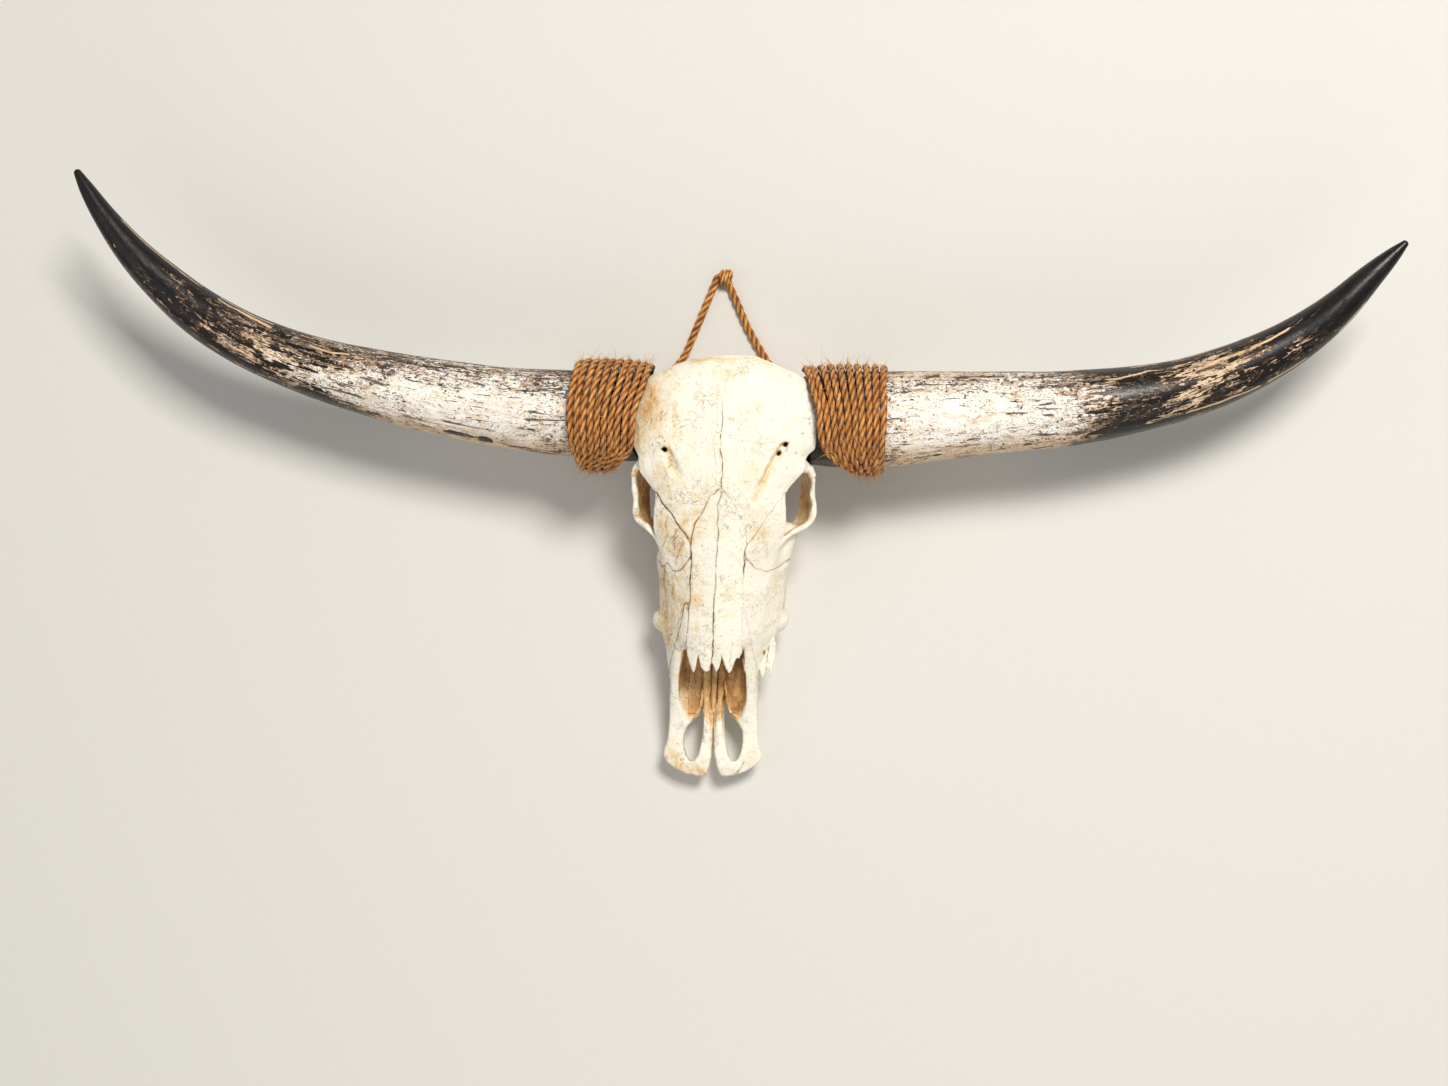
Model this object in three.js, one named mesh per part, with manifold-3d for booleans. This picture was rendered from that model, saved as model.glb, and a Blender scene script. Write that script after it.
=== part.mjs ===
// Longhorn steer skull with rope-wrapped horn bases and a hanging loop.
// It lies face up on the floor: +X to the right of the photo, +Y towards the poll, +Z up out of the face. Millimetres.
import * as THREE from 'three';
import Module from 'manifold-3d';

const wasm = await Module();
wasm.setup();
const { Manifold, Mesh: Solid } = wasm;

// ---------------------------------------------------------------- named sizes
const GAP = 0.8;            // thin cut between neighbouring bones
const LEAN = 0.033;         // this skull's own crookedness: its nose leans a little to one side
const LEAN_AT = -221;       // where the lean is zero, along Y
const ROPE_D = 8.8;         // rope of the wraps
const LOOP_D = 10;          // rope of the hanging loop
const HORN_SIDES = 14;
const EASE = 0.43;          // how far a bone's facets may be merged
const SKIN_STATIONS = [-508, -503, -494, -480, -462, -440, -400, -375, -352, -340, -314, -270, -240, -218, -205, -190, -166, -150,
  -136, -121, -106, -88, -60, -38, -26, -15, -5];

// ---------------------------------------------------------------- helpers
// A smooth curve through knots [position, value], with no overshoot.
function through(knots) {
  const n = knots.length, x = knots.map(k => k[0]), v = knots.map(k => k[1]), d = [], m = [];
  for (let i = 0; i < n - 1; i++) d.push((v[i + 1] - v[i]) / (x[i + 1] - x[i]));
  m.push(d[0]);
  for (let i = 1; i < n - 1; i++) m.push(d[i - 1] * d[i] <= 0 ? 0 : 2 * d[i - 1] * d[i] / (d[i - 1] + d[i]));
  m.push(d[n - 2]);
  return q => {
    const p = Math.min(Math.max(q, x[0]), x[n - 1]);
    let i = 0;
    while (i < n - 2 && p > x[i + 1]) i++;
    const h = x[i + 1] - x[i], t = (p - x[i]) / h, t2 = t * t, t3 = t2 * t;
    return (2 * t3 - 3 * t2 + 1) * v[i] + (t3 - 2 * t2 + t) * h * m[i] + (3 * t2 - 2 * t3) * v[i + 1] + (t3 - t2) * h * m[i + 1];
  };
}

const lerp = (a, b, t) => a + (b - a) * t;

// Corner cutting: one round of it turns a closed outline into a rounder one with twice the points.
function rounded(ring, cut = 0.15) {
  const out = [];
  ring.forEach((p, i) => {
    const q = ring[(i + 1) % ring.length];
    out.push(p.map((c, k) => lerp(c, q[k], cut)), p.map((c, k) => lerp(c, q[k], 1 - cut)));
  });
  return out;
}

// A closed skin over rings of equal count; the ends are closed with a fan to their middle.
function skin(rings) {
  const n = rings[0].length, pos = [], idx = [];
  rings.forEach(r => r.forEach(p => pos.push(...p)));
  for (let s = 0; s < rings.length - 1; s++)
    for (let i = 0; i < n; i++) {
      const a = s * n + i, b = s * n + (i + 1) % n, c = a + n, d = b + n;
      idx.push(a, b, d, a, d, c);
    }
  for (const [s, flip] of [[0, true], [rings.length - 1, false]]) {
    const mid = [0, 1, 2].map(k => rings[s].reduce((t, p) => t + p[k], 0) / n), m = pos.length / 3;
    pos.push(...mid);
    for (let i = 0; i < n; i++) {
      const a = s * n + i, b = s * n + (i + 1) % n;
      idx.push(...(flip ? [m, b, a] : [m, a, b]));
    }
  }
  const g = new THREE.BufferGeometry();
  g.setAttribute('position', new THREE.Float32BufferAttribute(pos, 3));
  g.setIndex(idx);
  return g;
}

function solid(geometry) {
  const p = geometry.attributes.position, seen = new Map(), pos = [], map = [];
  for (let i = 0; i < p.count; i++) {
    const c = [p.getX(i), p.getY(i), p.getZ(i)], key = c.map(v => Math.round(v * 1e4)).join();
    if (!seen.has(key)) { seen.set(key, pos.length / 3); pos.push(...c); }
    map.push(seen.get(key));
  }
  const src = geometry.index ? Array.from(geometry.index.array) : map.map((_, i) => i), tri = [];
  for (let i = 0; i < src.length; i += 3) {
    const [a, b, c] = [map[src[i]], map[src[i + 1]], map[src[i + 2]]];
    if (a !== b && b !== c && c !== a) tri.push(a, b, c);
  }
  const make = t => new Manifold(new Solid({ numProp: 3, vertProperties: Float32Array.from(pos), triVerts: Uint32Array.from(t) }));
  const m = make(tri);
  if (m.volume() > 0) return m;
  for (let i = 0; i < tri.length; i += 3) [tri[i], tri[i + 1]] = [tri[i + 1], tri[i]];
  return make(tri);
}

function geometryOf(m) {
  const g = m.getMesh(), out = new THREE.BufferGeometry(), n = g.numProp, v = new Float32Array(g.vertProperties.length / n * 3);
  for (let i = 0; i < v.length / 3; i++) for (let k = 0; k < 3; k++) v[i * 3 + k] = g.vertProperties[i * n + k];
  out.setAttribute('position', new THREE.BufferAttribute(v, 3));
  out.setIndex(Array.from(g.triVerts));
  return out;
}

const largest = m => m.decompose().sort((a, b) => b.volume() - a.volume())[0];
const mirrored = m => m.mirror([1, 0, 0]);
const joined = list => list.reduce((a, b) => a.add(b));
const ball = (x, y, z, rx, ry, rz, w = 8, h = 6) => solid(new THREE.SphereGeometry(1, w, h).scale(rx, ry, rz).translate(x, y, z));

// A prism over an outline in plan, from z0 to z1.
function prism(outline, z0, z1) {
  const s = new THREE.Shape(outline.map(p => new THREE.Vector2(...p)));
  return solid(new THREE.ExtrudeGeometry(s, { depth: z1 - z0, bevelEnabled: false }).translate(0, 0, z0));
}

// A bar along points [x, y, z, half width across, half height up].
function bar(points, sides = 8) {
  const at = points.map(p => new THREE.Vector3(p[0], p[1], p[2]));
  return solid(skin(points.map((p, i) => {
    const t = at[Math.min(i + 1, at.length - 1)].clone().sub(at[Math.max(i - 1, 0)]).normalize();
    const side = new THREE.Vector3(0, 0, 1).cross(t).normalize(), up = t.clone().cross(side);
    return Array.from({ length: sides }, (_, k) => {
      const a = 2 * Math.PI * (k + 0.5) / sides;
      return at[i].clone().addScaledVector(side, p[3] * Math.cos(a)).addScaledVector(up, p[4] * Math.sin(a)).toArray();
    });
  })));
}

// ---------------------------------------------------------------- the skull's profiles along Y
// Each names one line that runs along the skull, as [y, size]: heights z, and half widths x.
const topZ = through([[-508, 37], [-485, 42], [-455, 46], [-430, 55], [-400, 71], [-375, 87], [-352, 108], [-340, 125], [-300, 137],
  [-250, 151], [-210, 161], [-170, 172], [-130, 182], [-90, 187], [-45, 185], [-20, 177], [-5, 161]]);
const browX = through([[-508, 5], [-485, 26], [-440, 34], [-380, 36], [-345, 32], [-250, 33], [-210, 44], [-170, 52], [-90, 62], [-45, 52],
  [-20, 34], [-8, 14]]);
const browDrop = through([[-508, 1], [-440, 1], [-380, 3], [-345, 8], [-250, 8], [-210, 6], [-170, 4], [-90, 4], [-8, 2]]);
const crestX = through([[-508, 10], [-503, 31], [-494, 48], [-486, 57], [-478, 60], [-462, 55], [-400, 52], [-375, 50], [-350, 49], [-310, 54],
  [-270, 60], [-235, 69], [-215, 78], [-203, 83], [-185, 82], [-166, 80], [-150, 92], [-137, 103], [-121, 104.5], [-108, 111.5],
  [-88, 112.5], [-70, 111.5], [-52, 108], [-38, 103], [-26, 84], [-15, 57], [-9, 44], [-5, 31]]);
const crestZ = through([[-508, 34], [-460, 43], [-430, 51], [-400, 66], [-375, 80], [-350, 96], [-300, 110], [-250, 122], [-212, 136], [-180, 150],
  [-150, 156], [-88, 160], [-50, 157], [-25, 150], [-8, 146]]);
const sideX = through([[-508, 11], [-503, 31], [-494, 49], [-486, 58], [-478, 60], [-462, 56], [-440, 54], [-397, 54], [-375, 58], [-345, 65],
  [-314, 75], [-270, 78], [-240, 78], [-222, 70], [-205, 54], [-180, 48], [-150, 50], [-110, 58], [-88, 64], [-60, 70], [-36, 70],
  [-20, 54], [-8, 27]]);
const sideZ = through([[-508, 32], [-440, 38], [-397, 52], [-375, 64], [-345, 74], [-300, 80], [-240, 97], [-205, 122], [-180, 134], [-150, 136],
  [-110, 126], [-60, 116], [-30, 116], [-8, 132]]);
const lowX = through([[-508, 9], [-503, 28], [-494, 46], [-486, 55], [-478, 56], [-440, 50], [-397, 46], [-375, 52], [-345, 62], [-315, 73],
  [-270, 76], [-240, 73], [-222, 60], [-205, 42], [-180, 38], [-150, 41], [-110, 50], [-60, 60], [-38, 66], [-20, 52], [-8, 22]]);
const lowZ = through([[-508, 29], [-440, 29], [-397, 34], [-375, 40], [-345, 46], [-300, 48], [-250, 56], [-222, 72], [-205, 86], [-150, 80],
  [-110, 76], [-60, 68], [-38, 66], [-20, 84], [-8, 114]]);
const baseX = through([[-508, 6], [-494, 32], [-478, 44], [-440, 42], [-397, 36], [-375, 40], [-345, 50], [-315, 60], [-270, 66], [-232, 62],
  [-214, 42], [-202, 24], [-180, 20], [-150, 25], [-110, 34], [-60, 44], [-38, 42], [-20, 34], [-8, 14]]);
const baseZ = through([[-508, 27], [-478, 25], [-440, 24], [-397, 23], [-345, 22], [-250, 24], [-222, 36], [-205, 54], [-180, 58], [-150, 52],
  [-110, 46], [-60, 42], [-38, 42], [-20, 58], [-8, 103]]);
const keelZ = through([[-508, 27], [-440, 27], [-375, 33], [-300, 36], [-230, 40], [-205, 52], [-150, 50], [-110, 45], [-60, 43], [-38, 46],
  [-20, 64], [-8, 102]]);

function section(y, grow = 0) {
  const half = [[0, topZ(y)], [browX(y), topZ(y) - browDrop(y)], [crestX(y), crestZ(y)], [sideX(y), sideZ(y)], [lowX(y), lowZ(y)],
    [baseX(y), baseZ(y)], [0, keelZ(y)]];
  const whole = [...half, ...half.slice(1, -1).reverse().map(([x, z]) => [-x, z])];
  const ring = rounded(whole), n = ring.length;
  return ring.map(([x, z], i) => {
    const [ax, az] = ring[(i + n - 1) % n], [bx, bz] = ring[(i + 1) % n], l = Math.hypot(bx - ax, bz - az) || 1;
    return [x - grow * (bz - az) / l, y, z + grow * (bx - ax) / l];
  });
}

// ---------------------------------------------------------------- the skull, whole
const BOX = 400;
const head = grow => solid(skin(SKIN_STATIONS.map(y => section(y, grow))));

// Nasal bones reach out over the nose opening and end in prongs.
const nasalSkin = solid(skin([[-374, 31, 0], [-360, 33, 0], [-345, 34, 0], [-320, 34, 0]].map(([y, w]) => {
  const z = through([[-374, 113], [-340, 125], [-320, 131]])(y), t = 6;
  return [[w, z - 16], [w, z - 9], [w * 0.7, z - 3], [w * 0.3, z], [-w * 0.3, z], [-w * 0.7, z - 3], [-w, z - 9], [-w, z - 16],
    [-w * 0.6, z - t - 5], [w * 0.6, z - t - 5]].map(([x, zz]) => [x, y, zz]);
})));
const notch = (x, half, reach) => prism([[x - half, -380], [x + half, -380], [x, -380 + reach]], 80, 150);
const prongs = joined([[-31, 6, 30], [-17.5, 4, 28], [-2.5, 2.5, 16], [10.5, 5, 26], [29, 8, 30]].map(n => notch(...n)));

// The nose: a deep opening under the nasals that runs out as a trough between the premaxillae.
const noseCut = joined([
  solid(skin([[-468, 13, 38, 90], [-440, 34, 42, 110], [-415, 38, 43, 120], [-380, 38.5, 44, 120], [-353, 38, 46, 118], [-352, 36, 46, 106],
    [-320, 31, 50, 112], [-285, 16, 60, 100]].map(([y, w, z0, z1]) => rounded([[w, z0], [w, z1], [-w, z1], [-w, z0]], 0.15).map(([x, z]) => [x, y, z])))),
]);
const fissure = solid(skin([[15, 1], [60, 1]].map(([z]) => Array.from({ length: 16 }, (_, i) => {
  const a = 2 * Math.PI * i / 16, u = Math.cos(a), v = Math.sin(a);
  return [24 + 11 * u * (1 - 0.25 * v) - 2 * v, -450 + 32 * v, z];
}))));
const frontSplit = prism([[-0.6, -430], [0.6, -430], [3, -494], [5, -520], [-5, -520], [-3, -494]], 0, 90);
const vomer = joined([
  solid(skin([[-425, 10, 28, 54], [-380, 10, 34, 58], [-330, 7, 40, 66], [-292, 4, 44, 80]].map(([y, w, z0, z1]) =>
    [[w, z0], [w, (z0 + z1) / 2], [w * 0.5, z1], [-w * 0.5, z1], [-w, (z0 + z1) / 2], [-w, z0]].map(([x, z]) => [x, y, z])))),
]);
const inner = solid(skin([[-478, 3, 11, 27, 40], [-450, 1.2, 11, 27, 44], [-424.5, 0.8, 10, 27, 46]].map(([y, a, b, z0, z1]) =>
  [[a, z0], [a, z1], [b, z1 - 3], [b, z0]].map(([x, z]) => [x, y, z]))));

const tuber = ball(72, -314, 60, 11, 15, 17);
const condyle = ball(25, -20, 27, 17, 17, 22);
const jawSeat = grow => ball(46, -58, 40, 22 + grow, 26 + grow, 30 + grow);
const processus = solid(skin([[60, 12, 16, -52], [30, 9, 12, -48], [12, 7, 8, -45], [0, 5, 5.5, -44]].map(([z, a, b, y]) =>
  Array.from({ length: 10 }, (_, i) => [52 + a * Math.cos(Math.PI * i / 5), y + b * Math.sin(Math.PI * i / 5), z]))));
const bulla = ball(36, -88, 38, 11, 17, 18);
const pterygoid = solid(skin([[60, 3.5, -150, -216], [40, 3, -156, -222], [20, 2, -180, -216]].map(([z, t, y1, y0]) =>
  [[23 + t, y0], [23 + t, y1], [23 - t, y1], [23 - t, y0]].map(([x, y]) => [x, y, z]))));
const cheekRow = joined([[-226, 54.5, 12], [-250, 54, 12.5], [-274, 52, 12], [-295, 50, 10.5], [-314, 47.5, 9.5], [-331, 45, 8]].map(([y, x, w], i) =>
  solid(skin([[0, 0.82], [6, 1], [36, 0.95]].map(([z, k]) => Array.from({ length: 8 }, (_, j) => {
    const a = Math.PI * (j + 0.5) / 4, l = [13.4, 14, 12.6, 10.8, 10, 9.4][i];
    return [x + w * k * Math.cos(a) * 1.04, y + l * Math.sin(a) * 1.02, z];
  })))))).subtract(prism([[0, -400], [100, -400], [100, -100], [0, -100]], -30, 0));
const hornCore = solid(skin([[50, 32], [70, 39], [84, 40]].map(([x, r]) => Array.from({ length: HORN_SIDES }, (_, i) => {
  const a = 2 * Math.PI * i / HORN_SIDES;
  return [x, -75 + r * Math.cos(a), 121 + r * Math.sin(a)];
}))));
const browEnd = grow => bar([[80, -128, 151, 13, 6], [93, -133, 149, 9, 6], [101, -141 - grow, 144, 5, 5]].map(([x, y, z, a, b]) => [x, y, z, a + grow, b + grow]));
const postorbital = browEnd(0);

const sided = [tuber, condyle, jawSeat(0), processus, bulla, pterygoid, cheekRow, hornCore, postorbital];
const foramen = ball(0, -14, 56, 17, 26, 17);
const browHole = solid(new THREE.CylinderGeometry(3, 3, 30, 8).rotateX(Math.PI / 2).translate(66, -109, 178));
const bothSides = m => m.add(mirrored(m));

let whole = head(0).subtract(noseCut);
whole = joined([whole, nasalSkin, vomer, bothSides(inner), ...sided.map(bothSides)]);
whole = whole.subtract(joined([prongs, bothSides(fissure), frontSplit, foramen, bothSides(browHole)]));
whole = whole.subtract(prism([[-BOX, -600], [BOX, -600], [BOX, 100], [-BOX, 100]], -50, 0));

// The orbit's ring: a ribbon from the brow's outer end, round below the eye, to the lacrimal, with the arch behind it.
const rim = [[99, -141.5, 146], [103, -150, 139], [105, -168, 129], [105, -186, 123], [101, -197, 122], [91, -205, 126], [79, -213, 130], [62, -230, 124]];
const sill = [[90, -138, 118], [91, -148, 110], [91, -168, 98], [90, -186, 91], [86, -198, 89], [82, -208, 90], [75, -220, 90], [60, -238, 92]];
const orbitBone = (grow = 0) => solid(skin(rim.map((r, i) => {
  const l = sill[i], t = (i < 4 ? 3 : 4.5) + grow, m = r.map((c, k) => lerp(c, l[k], 0.5)), g = grow;
  return [[r[0] + t * 0.8, r[2]], [m[0] + 1.5 + t, m[2]], [l[0] + t * 0.9, l[2]], [l[0], l[2] - 3 - g], [l[0] - 4 - g, l[2]], [m[0] - 3 - g, m[2]], [r[0] - 3 - g, r[2]], [r[0], r[2] + 3 + g]]
    .map(([x, z]) => [x, lerp(r[1], l[1], (r[2] - z) / (r[2] - l[2])), z]);
}))).add(bar([[90, -186, 93, 5, 8], [92, -160, 89, 5, 8], [91, -130, 78, 5, 7.5], [85, -106, 67, 7, 6.5], [72, -88, 62, 10, 6.5], [54, -80, 60, 10, 8]].map(([x, y, z, a, b]) => [x, y, z, a + grow, b + grow])));

// ---------------------------------------------------------------- parted into its bones by thin cuts
const h = GAP / 2;
const nasalPlan = [[h, -164], [28 - h, -206], [33.5, -223], [34, -352], [34, -390], [h, -390]];
const nasalBox = prism(nasalPlan, 60, 260);
const underNasal = solid(skin([-395, -352, -330, -300, -250, -210, -150].map(y => {
  const z = topZ(Math.max(y, -340)) - (y < -340 ? (-340 - y) * 0.31 : 0) - 13;
  return [[-60, 0], [60, 0], [60, z - 6], [34, z - 6], [0, z], [-34, z - 6], [-60, z - 6]].map(([x, zz]) => [x, y, zz]);
})));
const underNasalLow = underNasal.translate([0, 0, -GAP]);
const nasal = largest(whole.subtract(underNasal).intersect(nasalBox));
const nasalRoom = prism([[-h, -163], [-(28 + h), -204], [-(34 + h), -222], [-(34.5 + h), -400], [34.5 + h, -400], [34 + h, -222], [28 + h, -204], [h, -163]], 60, 260)
  .subtract(underNasalLow);
const rest = whole.subtract(nasalRoom);

const craniumPlan = side => [[0, 50], [BOX, 50], [BOX, -164 + h], [79, -164 + h], [62, -190 + h * 1.3], [34, -222 + h * 1.3], [26, -232], [0, -232]].map(([x, y]) => [side * x, y]);
const behind = prism([...craniumPlan(1), ...craniumPlan(-1).slice(1, -1).reverse()], -60, 300);
const cranium = largest(rest.intersect(behind));
const lacrimalPlan = [[34 + h, -223 - h], [62, -191 - h], [79, -165 - h], [BOX, -165 - h], [BOX, -246], [90, -250], [62, -258], [46, -256], [34 + h, -262]];
const lacrimal = rest.intersect(prism(lacrimalPlan, 88, 300));
const orbitClear = head(GAP).add(bothSides(hornCore)).add(bothSides(browEnd(GAP))).add(bothSides(jawSeat(GAP * 1.4)));
const orbitFree = largest(orbitBone().subtract(orbitClear));
const cheekbone = largest(lacrimal.add(orbitFree).add(orbitBone().intersect(prism([[55, -166], [125, -166], [125, -250], [55, -250]], 88.2, 200))));

const maxillaPlan = [[h, -232 - GAP], [26 - h, -232 - GAP], [34, -223 - h], [BOX, -223 - h], [BOX, -432], [h, -432]];
const premaxPlan = [[h, -424], [38, -424], [40, -400], [41, -372], [43, -346], [52, -346], [58, -372], [62, -396], [BOX, -410], [BOX, -560], [h, -560]];
const premaxRoom = [[0, -424 + GAP], [38 - GAP, -424 + GAP], [40 - GAP, -400], [41 - GAP, -372], [43 - GAP, -346 + GAP], [52 + GAP, -346 + GAP], [58 + GAP, -372], [62 + GAP, -396 + GAP],
  [BOX, -410 + GAP], [BOX, -560], [0, -560]];
const upper = prism(premaxPlan, -20, 300), upperRoom = prism(premaxRoom, -20, 300);
const premaxilla = largest(rest.intersect(upper));
const maxilla = largest(rest.intersect(prism(maxillaPlan, -60, 300)).subtract(upperRoom)
  .subtract(prism(lacrimalPlan.map(([x, y], i) => [x, i < 4 ? y + GAP : y - GAP]), 88 - GAP, 300)).subtract(orbitBone(GAP)));

// ---------------------------------------------------------------- horns
const hornKnots = {
  left: [[-84, -75.5, 123, 50], [-104, -75.5, 123, 53], [-122, -75.5, 122.5, 53.2], [-140, -75, 122, 53], [-163, -74, 121.5, 51.5], [-216, -72.5, 119.5, 50], [-270, -68, 118.5, 47.5], [-323, -61, 118, 45.5], [-377, -52.5, 119, 43],
    [-430, -42, 120.5, 40], [-482, -30, 121.5, 37], [-534, -14, 126.5, 34.2], [-583, 6, 133, 32], [-630, 32.5, 139.5, 29.5], [-672, 65, 147, 25.5], [-711, 102, 156, 20],
    [-744, 143, 164, 14], [-766, 176, 169, 9], [-776, 193, 171.5, 5]],
  right: [[92, -74, 123, 50], [112, -74, 123, 53], [130, -74, 122.5, 54.5], [150, -72.5, 122, 55.5], [184, -71, 121, 55.5], [233, -67, 119.5, 53], [282, -62.5, 118.5, 49.7], [331, -58.5, 118.5, 47], [380, -55, 119.5, 44.6],
    [428, -48.5, 120.5, 42], [476, -40, 121.5, 38.5], [523, -29, 125, 35.4], [569, -12.5, 131, 32.8], [613, 8.5, 137, 29.3], [654, 34, 143, 25.2], [691, 65, 151.5, 20.5],
    [724, 100.5, 159, 14.5], [746, 123.5, 164, 9], [758, 136, 166.5, 4.5]],
};
function hornAxis(knots) {
  return new THREE.CatmullRomCurve3(knots.map(k => new THREE.Vector3(k[0], k[1], k[2])), false, 'centripetal');
}
function horn(knots) {
  const axis = hornAxis(knots), last = knots.length - 1, steps = 22;
  const radius = through(knots.map((k, i) => [i / last, k[3]]));
  const rings = [];
  for (let s = 0; s <= steps; s++) {
    const u = s / steps, p = axis.getPoint(u), t = axis.getTangent(u);
    const side = new THREE.Vector3(0, 0, 1).cross(t).normalize(), up = t.clone().cross(side), r = radius(u);
    rings.push(Array.from({ length: HORN_SIDES }, (_, k) => {
      const a = 2 * Math.PI * k / HORN_SIDES;
      return p.clone().addScaledVector(side, r * Math.cos(a)).addScaledVector(up, r * Math.sin(a)).toArray();
    }));
  }
  const end = axis.getPoint(1), t = axis.getTangent(1), r = radius(1);          // the blunt tip
  rings.push(rings[steps].map(q => new THREE.Vector3(...q).sub(end).multiplyScalar(0.6).add(end).addScaledVector(t, r * 0.75).toArray()));
  return skin(rings);
}

// ---------------------------------------------------------------- rope wraps: a collar of turns, fanned as the photo shows
function wrap(side, axisY, axisZ, slopeY, slopeZ, inR, outR, near, tilt, far, turns) {
  const around = 16, rows = turns * 2, rings = [];
  const place = (x, r, a) => [side * x, axisY + slopeY * (x - near) + r * Math.cos(a), axisZ + slopeZ * (x - near) + r * Math.sin(a)];
  const row = (u, r) => Array.from({ length: around }, (_, k) => {
    const a = 2 * Math.PI * k / around;
    return place(lerp(near - tilt * Math.cos(a), far, u), r, a);
  });
  for (let i = 0; i <= rows; i++) {
    const u = i / rows, barrel = outR - 6 * Math.pow(Math.abs(2 * u - 1), 4);
    rings.push(row(u, barrel - (i % 2 === 0 ? ROPE_D * 0.3 : 0)));
  }
  rings.push(row(1, inR), row(0, inR), rings[0]);
  const n = around, pos = rings.slice(0, -1).flat(), idx = [], count = rings.length - 1;
  for (let s = 0; s < count; s++)
    for (let i = 0; i < n; i++) {
      const a = s * n + i, b = s * n + (i + 1) % n, c = ((s + 1) % count) * n + i, d = ((s + 1) % count) * n + (i + 1) % n;
      idx.push(...(side > 0 ? [a, b, d, a, d, c] : [a, d, b, a, c, d]));
    }
  const g = new THREE.BufferGeometry();
  g.setAttribute('position', new THREE.Float32BufferAttribute(pos.flat(), 3));
  g.setIndex(idx);
  return g;
}

// ---------------------------------------------------------------- the hanging loop, slack on the floor behind the poll
const F = LOOP_D / 2 + 0.4;
const loopRoute = [[98, -36, 66], [95, -33, 52], [89, -29, 36], [81, -23, 21], [70, -17, 10], [58, -12, F + 0.5], [48, -6, F], [40, 1.5, F], [34, 10, F], [23, 27.5, F], [12, 47, F],
  [3, 66, F], [-6, 85, F], [-12, 98, F], [-16, 105, F], [-21, 108, F], [-26, 105, F], [-29, 98, F], [-37, 77, F], [-46, 53, F], [-54, 32, F], [-61, 14, F], [-67, 2, F + 1],
  [-73, -6, 10], [-78, -13, 20], [-82, -21, 36], [-85, -29, 52], [-86, -36, 66]];
function tube(route, diameter, sides, steps) {
  const curve = new THREE.CatmullRomCurve3(route.map(p => new THREE.Vector3(...p)));
  const shape = new THREE.Shape(Array.from({ length: sides }, (_, i) => new THREE.Vector2(diameter / 2 * Math.cos(2 * Math.PI * i / sides), diameter / 2 * Math.sin(2 * Math.PI * i / sides))));
  return new THREE.ExtrudeGeometry(shape, { steps, bevelEnabled: false, extrudePath: curve });
}
const loop = solid(tube(loopRoute, LOOP_D, 8, 36));
const knot = joined([ball(-18, 106, 12, 9, 7, 6.5, 8, 5), ball(-10, 105, 11, 7, 6, 6, 7, 5)])
  .subtract(solid(tube(loopRoute, LOOP_D + 1.8, 8, 36))).subtract(prism([[-90, -90], [90, -90], [90, 190], [-90, 190]], -30, 0.4));

// ---------------------------------------------------------------- the scene graph
const bone = new THREE.MeshStandardMaterial({ color: 0xe9dcc2, roughness: 0.62, metalness: 0 });
const hornStuff = new THREE.MeshStandardMaterial({ color: 0x8a7560, roughness: 0.4, metalness: 0 });
const rope = new THREE.MeshStandardMaterial({ color: 0xa5682c, roughness: 0.9, metalness: 0 });
const model = new THREE.Group();
const add = (name, geometry, material) => {
  const g = geometry.toNonIndexed();
  g.computeVertexNormals();
  const mesh = new THREE.Mesh(g, material);
  mesh.name = name;
  model.add(mesh);
};
// Bones take the skull's own lean as they are placed.
const leaned = m => {
  const g = geometryOf(m.simplify(EASE)), p = g.attributes.position;
  for (let i = 0; i < p.count; i++) {
    const x = p.getX(i), y = p.getY(i);
    p.setXY(i, x + LEAN * (y - LEAN_AT), y + LEAN * x);
  }
  return g;
};
add('cranium', leaned(cranium), bone);
for (const [name, m] of [['nasal', nasal], ['cheekbone', cheekbone], ['maxilla', maxilla], ['premaxilla', premaxilla]]) {
  add(name + '_right', leaned(m), bone);
  add(name + '_left', leaned(mirrored(m)), bone);
}
// A horn's base closes round the skull's edge.
const aboveBrow = solid(skin([-150, -121, -108, -88, -60, -38, -26, -15].map(y => {
  const w = crestX(y) * 0.945 + 2;
  return [[w, y, 128], [w, y, 300], [-w, y, 300], [-w, y, 128]];
})));
const skullRoom = solid(leaned(head(GAP).add(aboveBrow).add(bothSides(hornCore.translate([0.6, 0, 0]).add(browEnd(GAP)))).subtract(prism([[-60, -600], [60, -600], [60, 100], [-60, 100]], -60, 400))));
for (const side of ['left', 'right']) add('horn_' + side, geometryOf(largest(solid(horn(hornKnots[side])).subtract(skullRoom))), hornStuff);
add('rope_wrap_left', wrap(-1, -76, 123, 0.02, -0.03, 56, 67.5, 106, 22, 177, 10), rope);
add('rope_wrap_right', wrap(1, -74, 123, 0.035, -0.03, 58, 65.5, 116, 19, 190, 10), rope);
const cords = ['hanging_loop', 'loop_knot'];
add(cords[0], geometryOf(loop), rope);
add(cords[1], geometryOf(largest(knot)), rope);

// Origin: the middle of the base of everything but the loop.
const box = new THREE.Box3();
model.children.filter(c => !cords.includes(c.name)).forEach(c => box.expandByObject(c));
const mid = box.getCenter(new THREE.Vector3());
model.children.forEach(c => c.position.set(-mid.x, -mid.y, -box.min.z));

export default model;
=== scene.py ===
"""A longhorn steer skull, face up on a pale floor, with rope-wrapped horns and a slack hanging loop.

Shapes are worked out in the part's own frame in millimetres: +X to the right, +Y to the poll, +Z up out of
the face, with Y = 0 at the poll. place() brings them to the row's frame in metres.
"""

import math

import bpy
import numpy as np
from mathutils import Matrix, Vector


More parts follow.
